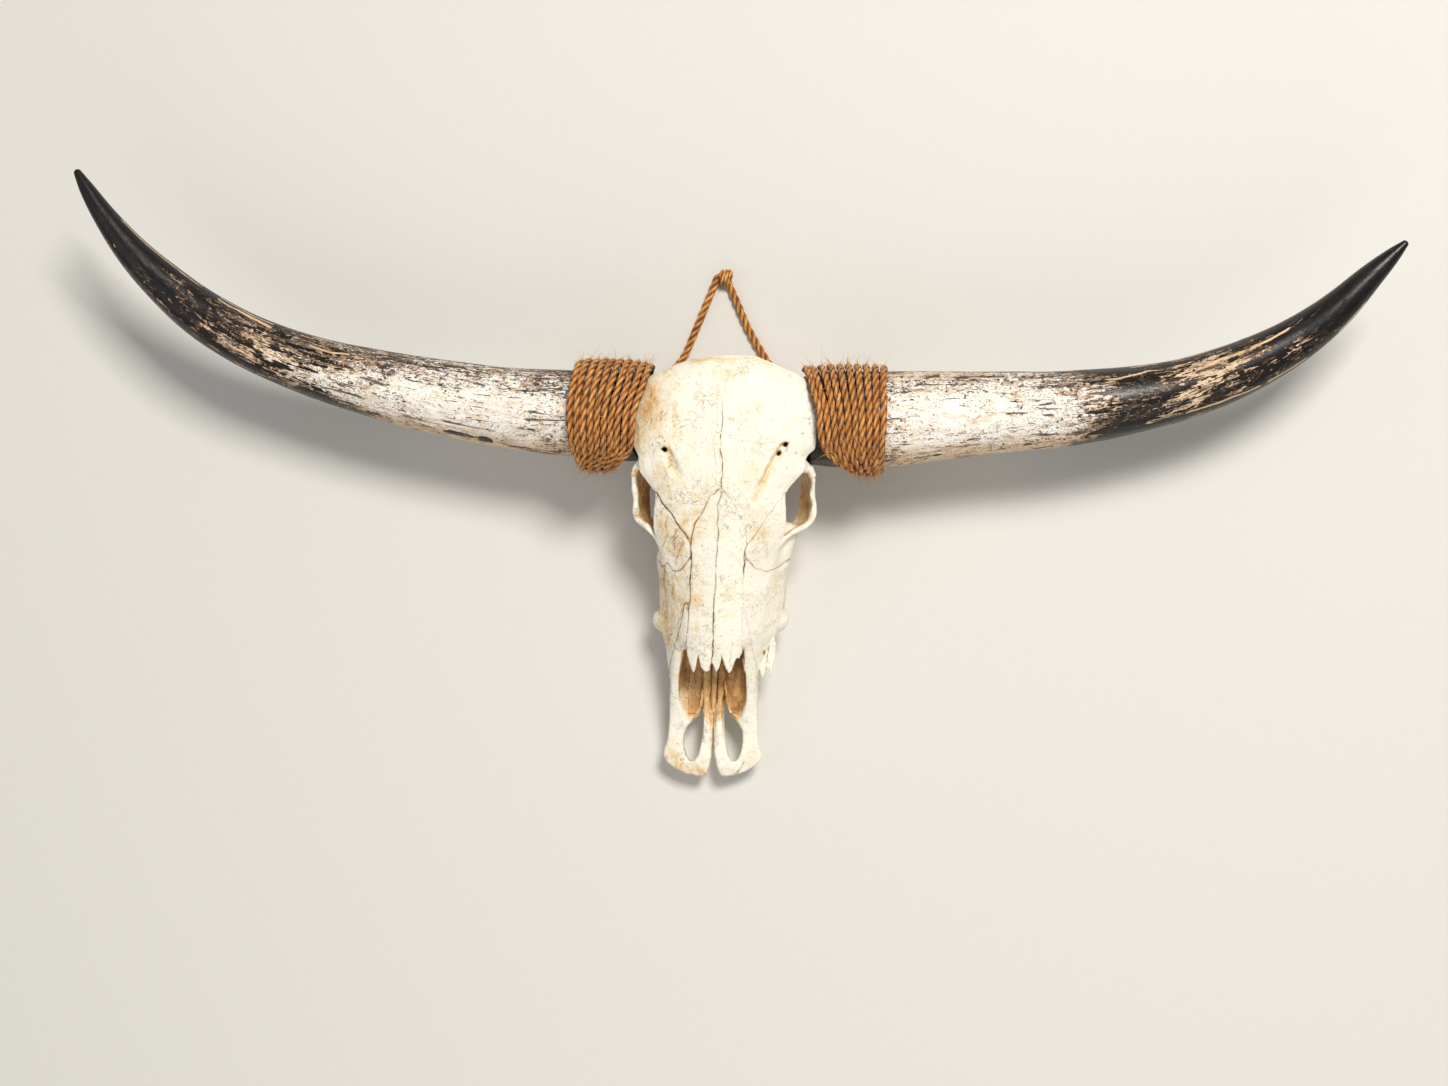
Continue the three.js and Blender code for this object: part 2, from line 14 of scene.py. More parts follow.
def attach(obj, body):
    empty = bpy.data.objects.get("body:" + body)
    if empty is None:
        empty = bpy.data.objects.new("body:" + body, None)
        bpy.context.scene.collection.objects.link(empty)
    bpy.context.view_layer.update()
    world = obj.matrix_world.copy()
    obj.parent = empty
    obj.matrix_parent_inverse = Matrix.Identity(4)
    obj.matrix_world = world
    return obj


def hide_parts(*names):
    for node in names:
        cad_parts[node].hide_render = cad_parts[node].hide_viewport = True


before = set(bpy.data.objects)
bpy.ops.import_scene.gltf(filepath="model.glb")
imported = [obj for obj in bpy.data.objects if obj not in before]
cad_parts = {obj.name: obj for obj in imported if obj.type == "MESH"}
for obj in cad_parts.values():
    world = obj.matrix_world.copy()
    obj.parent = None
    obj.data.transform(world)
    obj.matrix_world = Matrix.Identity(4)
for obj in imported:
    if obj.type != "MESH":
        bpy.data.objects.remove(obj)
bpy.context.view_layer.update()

SHIFT = np.array([9.105, 155.315, 0.0])   # from the part's own frame to the row's, mm
LEAN, LEAN_AT = 0.033, -221.0             # this skull's own crookedness
GAP = 0.04                                # half the width of a suture between two bones
STEP = 1.4              # grain of the bone's mesh
ROPE_D, LOOP_D = 8.2, 10.0
FAR = 60.0                                # a distance that stands for nowhere near
RNG = np.random.default_rng(41)


def place(points):
    return (np.asarray(points, float) + SHIFT) / 1000.0


# ---------------------------------------------------------------- curves, noise and meshes
def rise(value, low, high):
    """0 at low and 1 at high, straight in between. low may be the larger of the two."""
    return np.clip((value - low) / (high - low), 0, 1)


def bell(value, width):
    return np.exp(-(value / width) ** 2)


def most(*distances):
    """The largest of several distances: what all the shapes share."""
    out = distances[0]
    for d in distances[1:]:
        out = np.maximum(out, d)
    return out


def through(knots):
    """A smooth curve through knots (position, value), with no overshoot."""
    x, v = np.array(knots, float).T
    d = np.diff(v) / np.diff(x)
    inner = [0 if a * b <= 0 else 2 * a * b / (a + b) for a, b in zip(d[:-1], d[1:])]
    m = np.array([d[0], *inner, d[-1]])

    def value(q):
        p = np.clip(q, x[0], x[-1])
        i = np.clip(np.searchsorted(x, p, side="right") - 1, 0, len(x) - 2)
        h = x[i + 1] - x[i]
        t = (p - x[i]) / h
        return ((2 * t**3 - 3 * t**2 + 1) * v[i] + (t**3 - 2 * t**2 + t) * h * m[i]
                + (3 * t**2 - 2 * t**3) * v[i + 1] + (t**3 - t**2) * h * m[i + 1])
    return value


def spline(points, count):
    """count points along a smooth line through points, evenly spaced."""
    p = np.array(points, float)
    ext = np.vstack([2 * p[0] - p[1], p, 2 * p[-1] - p[-2]])
    out = []
    for i in range(len(p) - 1):
        a, b, c, d = ext[i:i + 4]
        k = [0.0]
        for s, e in ((a, b), (b, c), (c, d)):
            k.append(k[-1] + math.sqrt(max(np.linalg.norm(e[:3] - s[:3]), 1e-6)))
        t = np.linspace(k[1], k[2], 24, endpoint=False)[:, None]
        a1 = (k[1] - t) / (k[1] - k[0]) * a + (t - k[0]) / (k[1] - k[0]) * b
        a2 = (k[2] - t) / (k[2] - k[1]) * b + (t - k[1]) / (k[2] - k[1]) * c
        a3 = (k[3] - t) / (k[3] - k[2]) * c + (t - k[2]) / (k[3] - k[2]) * d
        b1 = (k[2] - t) / (k[2] - k[0]) * a1 + (t - k[0]) / (k[2] - k[0]) * a2
        b2 = (k[3] - t) / (k[3] - k[1]) * a2 + (t - k[1]) / (k[3] - k[1]) * a3
        out.append((k[2] - t) / (k[2] - k[1]) * b1 + (t - k[1]) / (k[2] - k[1]) * b2)
    line = np.vstack(out + [p[-1:]])
    s = lengths_along(line[:, :3])
    at = np.linspace(0, s[-1], count)
    return np.stack([np.interp(at, s, line[:, k]) for k in range(line.shape[1])], 1)


def lengths_along(path):
    return np.concatenate([[0], np.cumsum(np.linalg.norm(np.diff(path, axis=0), axis=1))])


LATTICE = RNG.random(8192) * 2 - 1
CORNERS = np.array([(c & 1, c >> 1 & 1, c >> 2 & 1) for c in range(8)])


def noise(points, size, octaves=1, seed=0):
    """Smooth noise from -1 to 1 at points, with features of about size."""
    total, weight, norm = 0.0, 1.0, 0.0
    size = np.broadcast_to(np.asarray(size, float), 3)
    for o in range(octaves):
        q = points / size * 2**o + 13.7 * o + 31.1 * seed
        i = np.floor(q).astype(np.int64)
        f = q - i
        w = f * f * (3 - 2 * f)
        acc = 0.0
        for b in CORNERS:
            j = i + b
            key = (j[:, 0] * 73856093 ^ j[:, 1] * 19349663 ^ j[:, 2] * 83492791) & 8191
            acc = acc + LATTICE[key] * np.prod(np.where(b, w, 1 - w), axis=1)
        total, norm, weight = total + weight * acc, norm + weight, weight / 2
    return total / norm


def noise_in_plan(points, size, octaves, seeds):
    """Two noises side by side, to shift points in plan."""
    return np.stack([noise(points, size, octaves, seed=k) for k in seeds], -1)


def between(values, corner, step, points):
    """Values on a grid that starts at corner, at points between its own."""
    q = np.clip((np.asarray(points) - corner) / step, 0, np.array(values.shape) - 1.001)
    i = q.astype(int)
    f = q - i
    out = 0.0
    for b in CORNERS:
        out = out + values[tuple((i + b).T)] * np.prod(np.where(b, f, 1 - f), axis=1)
    return out


def make(name, verts, faces, material, attributes, creased=False):
    """A piece from points in the part's own frame. It rides on the row's one body."""
    faces = np.asarray(faces, np.int32)
    mesh = bpy.data.meshes.new(name)
    mesh.vertices.add(len(verts))
    mesh.vertices.foreach_set("co", place(verts).astype(np.float32).ravel())
    n, k = faces.shape
    mesh.loops.add(n * k)
    mesh.loops.foreach_set("vertex_index", faces.ravel())
    mesh.polygons.add(n)
    mesh.polygons.foreach_set("loop_start", np.arange(0, n * k, k, dtype=np.int32))
    mesh.polygons.foreach_set("use_smooth", np.ones(n, bool))
    mesh.update(calc_edges=True)
    mesh.validate()
    if creased:
        mesh.set_sharp_from_angle(angle=math.radians(50))
    for key, value in attributes.items():
        vector = value.ndim == 2
        a = mesh.attributes.new(key, "FLOAT_VECTOR" if vector else "FLOAT", "POINT")
        a.data.foreach_set("vector" if vector else "value", value.astype(np.float32).ravel())
    mesh.materials.append(material)
    obj = bpy.data.objects.new(name, mesh)
    bpy.context.scene.collection.objects.link(obj)
    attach(obj, "root")
    return obj


def grid_faces(rows, cols):
    """Quads over rows of points round a tube."""
    i, j = np.meshgrid(np.arange(rows - 1), np.arange(cols), indexing="ij")
    a, b = i * cols + j, i * cols + (j + 1) % cols
    return np.stack([a, b, b + cols, a + cols], -1).reshape(-1, 4)


# ---------------------------------------------------------------- materials
class Value:
    """An output of a material's node, for sums and products as with a number."""

    def __init__(self, shader, socket):
        self.shader, self.socket = shader, socket

    def __add__(self, other):
        return self.shader.math("ADD", self, other)

    def __sub__(self, other):
        return self.shader.math("SUBTRACT", self, other)

    def __mul__(self, other):
        return self.shader.math("MULTIPLY", self, other)

    def __abs__(self):
        return self.shader.math("ABSOLUTE", self)

    def scaled(self, *factors):
        return self.shader.node("ShaderNodeVectorMath", {0: self, 1: factors}, operation="MULTIPLY")

    def band(self, low, high, to_low=0.0, to_high=1.0):
        """Brought from low..high to to_low..to_high, clamped, with soft ends."""
        inputs = {0: self, 1: low, 2: high, 3: to_low, 4: to_high}
        return self.shader.node("ShaderNodeMapRange", inputs, interpolation_type="SMOOTHSTEP")

    def ramp(self, *stops):
        n = self.shader.tree.nodes.new("ShaderNodeValToRGB")
        self.shader.tree.links.new(self.socket, n.inputs[0])
        while len(n.color_ramp.elements) < len(stops):
            n.color_ramp.elements.new(0.5)
        for e, (at, colour) in zip(n.color_ramp.elements, stops):
            e.position, e.color = at, (*colour, 1)
        return Value(self.shader, n.outputs[0])


class Shader:
    """Short names for the nodes of one material."""

    def __init__(self, name, roughness, specular, sheen=0.0):
        self.mat = bpy.data.materials.new(name)
        self.mat.use_nodes = True
        self.tree = self.mat.node_tree
        self.tree.nodes.clear()
        out = self.tree.nodes.new("ShaderNodeOutputMaterial")
        self.bsdf = self.tree.nodes.new("ShaderNodeBsdfPrincipled")
        self.tree.links.new(self.bsdf.outputs[0], out.inputs[0])
        self.bsdf.inputs["Roughness"].default_value = roughness
        self.bsdf.inputs["Specular IOR Level"].default_value = specular
        self.bsdf.inputs["Sheen Weight"].default_value = sheen

    def node(self, kind, inputs, out=0, **props):
        n = self.tree.nodes.new(kind)
        for key, value in props.items():
            setattr(n, key, value)
        for key, value in inputs.items():
            if isinstance(value, Value):
                self.tree.links.new(value.socket, n.inputs[key])
            else:
                n.inputs[key].default_value = value
        return Value(self, n.outputs[out])

    def math(self, operation, a, b=0.0, clamp=False):
        return self.node("ShaderNodeMath", {0: a, 1: b}, operation=operation, use_clamp=clamp)

    def mix(self, amount, a, b):
        a, b = ((*c, 1) if isinstance(c, tuple) else c for c in (a, b))
        return self.node("ShaderNodeMix", {0: amount, 6: a, 7: b}, out=2, data_type="RGBA")

    def noise(self, vector, scale, detail, rough, warp=0.0):
        inputs = {"Vector": vector, "Scale": scale, "Detail": detail, "Roughness": rough, "Distortion": warp}
        return self.node("ShaderNodeTexNoise", inputs)

    def attribute(self, name, out="Fac"):
        return self.node("ShaderNodeAttribute", {}, out=out, attribute_name=name)

    def attributes(self, *names):
        return [self.attribute(name) for name in names]

    def finish(self, colour, height, distance, roughness=None):
        normal = self.node("ShaderNodeBump", {"Height": height, "Distance": distance, "Strength": 1.0})
        for key, value in (("Base Color", colour), ("Roughness", roughness), ("Normal", normal)):
            if value is not None:
                self.tree.links.new(value.socket, self.bsdf.inputs[key])
        return self.mat


def bone_material():
    """Sun-bleached bone: cream, with painted shade in its hollows and holes, and pores, hairline cracks,
    specks and rusty stains.
    """
    s = Shader("bleached_bone", roughness=0.6, specular=0.3)
    p = s.node("ShaderNodeTexCoord", {}, out="Object")
    hollow_shade, stain_and_shade, line, dark, seam, worn = s.attributes("hollow_shade", "stain_and_shade", "line", "dark", "seam", "worn")
    cloud = s.noise(p, 13, 4, 0.6)
    blotch = s.noise(p, 48, 6, 0.66, 0.7)
    grain = s.noise(p, 420, 4, 0.6)
    pits = s.noise(p, 190, 4, 0.7, 0.4)
    streak = s.noise(p.scaled(3.0, 0.40, 3.0), 70, 5, 0.65, 0.4)
    warm = (cloud - 0.48) * 0.9 + (blotch - 0.5) * 1.25 + (streak - 0.5) * 0.8 + (pits - 0.5) * 0.45
    warm = warm * worn.band(0.0, 1.0, 0.75, 1.35)
    # The painted shade in the hollows and the stains warm the colour.
    warm = s.math("ADD", warm * 0.85, hollow_shade + stain_and_shade, clamp=True)
    colour = warm.ramp((0.0, (0.90, 0.852, 0.735)), (0.20, (0.865, 0.775, 0.60)),
                       (0.42, (0.795, 0.60, 0.345)), (0.70, (0.63, 0.355, 0.135)),
                       (1.0, (0.32, 0.150, 0.055)))
    speck = s.noise(p, 310, 3, 0.65).band(0.635, 0.70)
    patchy = s.noise(p, 26, 3, 0.5).band(0.42, 0.60)
    colour = s.mix(speck * patchy * worn.band(0.0, 1.0, 0.30, 0.85), colour, (0.33, 0.20, 0.10))
    crazed = abs(s.noise(p, 62, 4, 0.6, 1.8) - 0.5).band(0.004, 0.014, 1.0, 0.0)
    crazed = crazed * s.noise(p, 34, 2, 0.5).band(0.50, 0.60) * worn.band(0.0, 1.0, 0.10, 0.75)
    colour = s.mix(crazed, colour, (0.34, 0.19, 0.09))
    edge = abs(seam) + (s.noise(p, 300, 3, 0.6) - 0.5) * 1.5
    broken = s.noise(p, 95, 3, 0.6).band(0.36, 0.52, 0.25, 1.0)
    crack = s.math("MULTIPLY", edge.band(0.12, 0.85, 1.0, 0.0) * line, broken, clamp=True)
    halo = edge.band(0.5, 3.2, 0.32, 0.0) * line * broken
    colour = s.mix(halo, colour, (0.50, 0.30, 0.13))
    colour = s.mix(crack, colour, (0.085, 0.04, 0.018))
    # Painted shade inside the holes and pores.
    colour = s.mix(dark, colour, (0.03, 0.017, 0.010))
    height = blotch * 1.2 + grain * 0.35 + pits * 0.5 - (speck * 0.3 + (crack * 0.7 + crazed * 0.4))
    return s.finish(colour, height, 0.0016, grain.band(0.3, 0.7, 0.5, 0.72))


def horn_material():
    """Horn sheath: a glossy black skin that flakes off along the grain, over brown and then speckled cream."""
    s = Shader("horn_sheath", roughness=0.35, specular=0.36)
    g = s.attribute("grain", out="Vector")          # along the horn, and across it, in mm
    bare, speck, straw, mark, thread = s.attributes("bare", "speck", "straw", "mark", "thread")

    def drawn(along, across, *rest):
        """Noise drawn out along the horn."""
        return s.noise(g.scaled(along, across, across), 1.0, *rest)

    broad = drawn(0.012, 0.05, 4, 0.6, 0.5)
    streak = drawn(0.020, 0.23, 5, 0.62, 0.35)
    flake = drawn(0.085, 0.22, 4, 0.62, 0.7)
    fleck = drawn(0.16, 0.26, 4, 0.66, 0.9)
    dust = drawn(0.36, 0.52, 3, 0.62)
    curl = drawn(0.05, 0.09, 3, 0.6, 2.4)
    patch = drawn(0.025, 0.045, 3, 0.6)
    fine = drawn(0.12, 1.1, 4, 0.6)
    much = speck + (patch - 0.5) * 1.7
    # Chalky cream, with straw along the lower edge, and rust, dirt and dark flecks among the specks.
    chalk = drawn(0.05, 0.13, 5, 0.7, 0.6) * 0.8 + dust * 0.2
    cream = chalk.ramp((0.34, (0.66, 0.50, 0.35)), (0.43, (0.82, 0.74, 0.62)), (0.52, (0.90, 0.86, 0.79)),
                       (0.70, (0.93, 0.91, 0.87)))
    dots = (fleck + much * 0.125).band(0.645, 0.663)
    lines = (streak + much * 0.10).band(0.640, 0.655)
    for mask, amount, over in [((straw + (streak - 0.5) * 2.0).band(0.25, 0.8), 0.75, (0.74, 0.50, 0.27)),
                               ((drawn(0.045, 0.13, 4, 0.65, 0.5) + much * 0.13).band(0.60, 0.70), 0.62,
                                (0.47, 0.235, 0.10)),
                               ((dust + much * 0.12).band(0.585, 0.64), 0.62, (0.22, 0.165, 0.145)),
                               (dots, 0.93, (0.035, 0.026, 0.024)), (lines, 0.90, (0.05, 0.033, 0.026))]:
        cream = s.mix(mask * amount, cream, over)
    # The black skin, and how much of it holds.
    skin = drawn(0.02, 0.14, 5, 0.7, 0.4).ramp((0.3, (0.005, 0.004, 0.004)), (0.54, (0.008, 0.0065, 0.0065)),
                                               (0.64, (0.022, 0.017, 0.016)), (0.78, (0.085, 0.058, 0.043)))
    ragged = (broad - 0.5) * 1.5 + ((streak - 0.5) * 1.7 + ((flake - 0.5) * 0.9 + (curl - 0.5) * 0.7))
    level = bare + ragged - mark * 2.0
    edge = level.band(0.43, 0.53).ramp((0.0, (0.05, 0.022, 0.010)), (0.30, (0.34, 0.15, 0.05)),
                                       (0.60, (0.74, 0.48, 0.27)), (1.0, (0.86, 0.76, 0.62)))
    colour = s.mix(level.band(0.430, 0.445), skin, edge)
    colour = s.mix(level.band(0.50, 0.54), colour, cream)
    loose = abs(drawn(0.022, 0.085, 3, 0.6, 1.6) - 0.5).band(0.0, 0.011, 1.0, 0.0)
    loose = loose * (patch.band(0.43, 0.53) * bare.band(0.0, 0.25))
    colour = s.mix(loose * 0.75, colour, (0.66, 0.42, 0.23))
    colour = s.mix((thread + (fine - 0.5) * 0.5).band(0.35, 0.6) * 0.92, colour, (0.80, 0.56, 0.33))
    flayed = level.band(0.40, 0.50, 0.12, 1.0)
    rough = level.band(0.42, 0.58, 0.33, 0.62) + (fine - 0.5) * 0.22 * flayed
    height = (level.band(0.40, 0.58, 1.0, 0.25) + fine * 0.40 * flayed + (dots + lines) * 0.35
              + streak * 0.7 * flayed)
    return s.finish(colour, height, 0.0012, rough)


def rope_material():
    """Laid sisal: golden brown fibres along each strand, with painted shade in the lay and where the turns
    meet.
    """
    s = Shader("sisal_rope", roughness=0.72, specular=0.3, sheen=0.15)
    g = s.attribute("grain", out="Vector")
    fibre = s.noise(g.scaled(0.12, 1.5, 1.5), 1.0, 4, 0.65, 0.3)
    yarn = s.noise(g.scaled(0.06, 0.55, 0.55), 1.0, 3, 0.6, 0.2)
    tone = s.noise(g.scaled(0.03, 0.12, 0.12), 1.0, 3, 0.6)
    value = fibre * 0.95 + (yarn * 0.50 + tone * 0.40) - (s.attribute("lay_shade") * 0.34 + 0.285)
    colour = value.ramp((0.20, (0.036, 0.011, 0.003)), (0.36, (0.18, 0.052, 0.010)),
                        (0.50, (0.42, 0.140, 0.022)), (0.62, (0.62, 0.265, 0.048)),
                        (0.78, (0.86, 0.52, 0.19)))
    return s.finish(colour, fibre * 0.9 + yarn * 0.6, 0.0011)


def floor_material():
    s = Shader("pale_floor", roughness=0.85, specular=0.3)
    tone = s.noise(s.node("ShaderNodeTexCoord", {}, out="Object"), 900, 3, 0.6)
    pale = (0.70, 0.69, 0.66)
    return s.finish(s.mix(tone, tuple(c * 0.9 for c in pale), pale), tone, 0.0002)


BONE, HORN, ROPE = bone_material(), horn_material(), rope_material()

# ---------------------------------------------------------------- camera
YAW, ROLL, DISTANCE, TARGET = math.radians(6), math.radians(1.9), 2373.0, np.array([3.0, -221.0, 105.0])
back = np.array([math.sin(YAW), 0, math.cos(YAW)])
level_up = np.array([0, 1.0, 0]) - back * back[1]
level_up /= np.linalg.norm(level_up)
level_right = np.cross(level_up, back)
right = level_right * math.cos(ROLL) + level_up * math.sin(ROLL)
up = -level_right * math.sin(ROLL) + level_up * math.cos(ROLL)
camera = bpy.data.objects.new("camera", bpy.data.cameras.new("camera"))
camera.data.lens, camera.data.sensor_width = 50, 36
camera.data.clip_end = 50
eye = place(TARGET + back * DISTANCE)
camera.matrix_world = Matrix([[right[k], up[k], back[k], eye[k]] for k in range(3)] + [[0, 0, 0, 1]])
bpy.context.scene.collection.objects.link(camera)
bpy.context.scene.camera = camera


# ---------------------------------------------------------------- rope
def frames(path, start):
    """Unit tangents and two cross directions that turn as little as they can along path."""
    t = np.gradient(path, axis=0)
    t /= np.linalg.norm(t, axis=1)[:, None]
    u = np.empty_like(path)
    u[0] = start - t[0] * (start @ t[0])
    u[0] /= np.linalg.norm(u[0])
    for i in range(1, len(path)):
        v = u[i - 1] - t[i] * (u[i - 1] @ t[i])
        u[i] = v / np.linalg.norm(v)
    return t, u, np.cross(t, u)


def laid_rope(path, diameter, lay, start, sides, rough):
    """Points, faces and attributes of a three-strand rope along evenly spaced points."""
    t, u, w = frames(path, np.array(start, float))
    s = lengths_along(path)
    strand, offset = diameter * 0.272, diameter * 0.228
    k = np.arange(sides) * 2 * np.pi / sides
    d = np.mod(k, 2 * np.pi / 3) - np.pi / 3
    r = offset * np.cos(d) + np.sqrt(np.maximum(strand**2 - (offset * np.sin(d))**2, 0))
    r = r / r.max() * diameter / 2
    # Painted shade: 1 down in the lay between strands, 0 on their crowns.
    lay_shade = (1 - (r - r.min()) / (r.max() - r.min()))[None, :] * np.ones((len(path), 1))
    a = k[None, :] + 2 * np.pi * s[:, None] / lay
    grain = np.stack([s[:, None] + 0 * a, diameter / 2 * np.cos(a), diameter / 2 * np.sin(a)], -1)
    spokes = u[:, None, :] * np.cos(a)[..., None] + w[:, None, :] * np.sin(a)[..., None]
    about = (path[:, None, :] + spokes).reshape(-1, 3) + grain.reshape(-1, 3) * [0.6, 3, 3]
    radius = r[None, :] + rough * noise(about, 3.0, 2).reshape(a.shape)
    row = np.arange(len(path))
    radius = radius * np.clip(np.minimum(row, row[::-1]) / 1.5, 0.25, 1)[:, None]
    pts = path[:, None, :] + radius[..., None] * spokes
    n, m = a.shape
    verts = np.vstack([pts.reshape(-1, 3), path[:1] - t[:1] * 0.5, path[-1:] + t[-1:] * 0.5])
    e = np.arange(0, m, 2)
    first, last = np.full(len(e), n * m), np.full(len(e), n * m + 1)
    end = (n - 1) * m
    ends = np.concatenate([np.stack([first, (e + 2) % m, (e + 1) % m, e], -1),
                           np.stack([last, end + e, end + (e + 1) % m, end + (e + 2) % m], -1)])
    pad = lambda arr: np.concatenate([arr.reshape(n * m, -1), arr.reshape(n * m, -1)[[0, -1]]])
    return verts, np.concatenate([grid_faces(n, m), ends]), {"grain": pad(grain), "lay_shade": pad(lay_shade)[:, 0]}


def hairs(name, roots, outs, lengths):
    """Stray fibres: thin three-sided threads that taper and bend from their roots, along outs."""
    steps, n, thickness, bending, ceiling = 7, len(roots), 0.30, 0.5, 202
    side = np.cross(outs, RNG.normal(size=(n, 3)))
    side /= np.linalg.norm(side, axis=1)[:, None]
    other = np.cross(outs, side)
    bend = RNG.normal(size=n) * bending
    RNG.random((3 * steps, n))                      # unused, but the next wrap's fibres count on these draws
    pts, grain = [], []
    for i in range(steps):
        q = i / (steps - 1)
        centre = roots + outs * (lengths * q)[:, None] + side * (bend * lengths * q * q)[:, None]
        wide = thickness * (1 - 0.75 * q)
        for a in 2 * np.pi * np.arange(3) / 3:
            pts.append(centre + wide * (side * math.cos(a) + other * math.sin(a)))
            grain.append(np.stack([np.arange(n) * 7.0 + q * 5, np.arange(n) * 3.1, np.zeros(n)], -1))
    v, g = np.stack(pts, 1).reshape(-1, 3), np.stack(grain, 1).reshape(-1, 3)
    faces = (np.arange(n)[:, None, None] * steps * 3 + grid_faces(steps, 3)[None]).reshape(-1, 4)
    v[:, 2] = np.clip(v[:, 2], 0.3, ceiling)
    return make(name, v, faces, ROPE, {"grain": g, "lay_shade": np.zeros(len(v))})


# The hanging loop, slack on the floor behind the poll, with its ends tucked under the wraps' first turns.
F = LOOP_D / 2 + 0.4
LOOP_ROUTE = [(113, -42, 73), (105, -39, 69.5), (98.5, -36, 62), (95, -33, 52), (89, -29, 36), (81, -23, 21),
              (70, -17, 10), (58, -12, F + 0.5), (48, -6, F), (40, 1.5, F), (34, 10, F), (23, 27.5, F),
              (12, 47, F), (3, 66, F), (-6, 85, F), (-12, 98, F), (-16, 105, F), (-21, 108, F), (-26, 105, F),
              (-29, 98, F), (-37, 77, F), (-46, 53, F), (-54, 32, F), (-61, 14, F), (-67, 2, F + 1),
              (-73, -6, 10), (-78, -13, 20), (-82, -21, 36), (-85, -29, 52), (-86.5, -36, 62), (-94, -39, 69),
              (-104, -42, 72.5)]
loop_path = spline(LOOP_ROUTE, 220)
verts, faces, attributes = laid_rope(loop_path, LOOP_D - 0.6, 34, (0, 0, 1), 21, 0.55)
loop = make("loop_rope", verts, faces, ROPE, attributes)
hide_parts("hanging_loop")

# The knot: tight turns round both legs at the loop's far end.
turn = np.linspace(0, 2 * np.pi * 2.3, 70)
coil = np.stack([-20 + turn * 0.75, 104.5 + 6.6 * np.cos(turn), 11.0 + 5.6 * np.sin(turn)], -1)
verts, faces, attributes = laid_rope(coil, 7.6, 26, (1, 0, 0), 15, 0.3)
verts[:, 2] = np.maximum(verts[:, 2], 0.4)
knot_piece = make("loop_knot_rope", verts, faces, ROPE, attributes)
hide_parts("loop_knot")

# ---------------------------------------------------------------- horns: axis and size
HORN_KNOTS = {"left": [(-84, -75.5, 123, 50), (-104, -75.5, 123, 53), (-122, -75.5, 122.5, 53.2),
                       (-140, -75, 122, 53), (-163, -74, 121.5, 51.5), (-216, -72.5, 119.5, 50),
                       (-270, -68, 118.5, 47.5), (-323, -61, 118, 45.5), (-377, -52.5, 119, 43),
                       (-430, -42, 120.5, 40), (-482, -30, 121.5, 37), (-534, -14, 126.5, 34.2),
                       (-583, 6, 133, 32), (-630, 32.5, 139.5, 29.5), (-672, 65, 147, 25.5),
                       (-711, 102, 156, 20), (-744, 143, 164, 14), (-766, 176, 169, 9),
                       (-776, 193, 171.5, 5)],
              "right": [(92, -74, 123, 50), (112, -74, 123, 53), (130, -74, 122.5, 54.5),
                        (150, -72.5, 122, 55.5), (184, -71, 121, 55.5), (233, -67, 119.5, 53),
                        (282, -62.5, 118.5, 49.7), (331, -58.5, 118.5, 47), (380, -55, 119.5, 44.6),
                        (428, -48.5, 120.5, 42), (476, -40, 121.5, 38.5), (523, -29, 125, 35.4),
                        (569, -12.5, 131, 32.8), (613, 8.5, 137, 29.3), (654, 34, 143, 25.2),
                        (691, 65, 151.5, 20.5), (724, 100.5, 159, 14.5), (746, 123.5, 164, 9),
                        (758, 136, 166.5, 4.5)]}


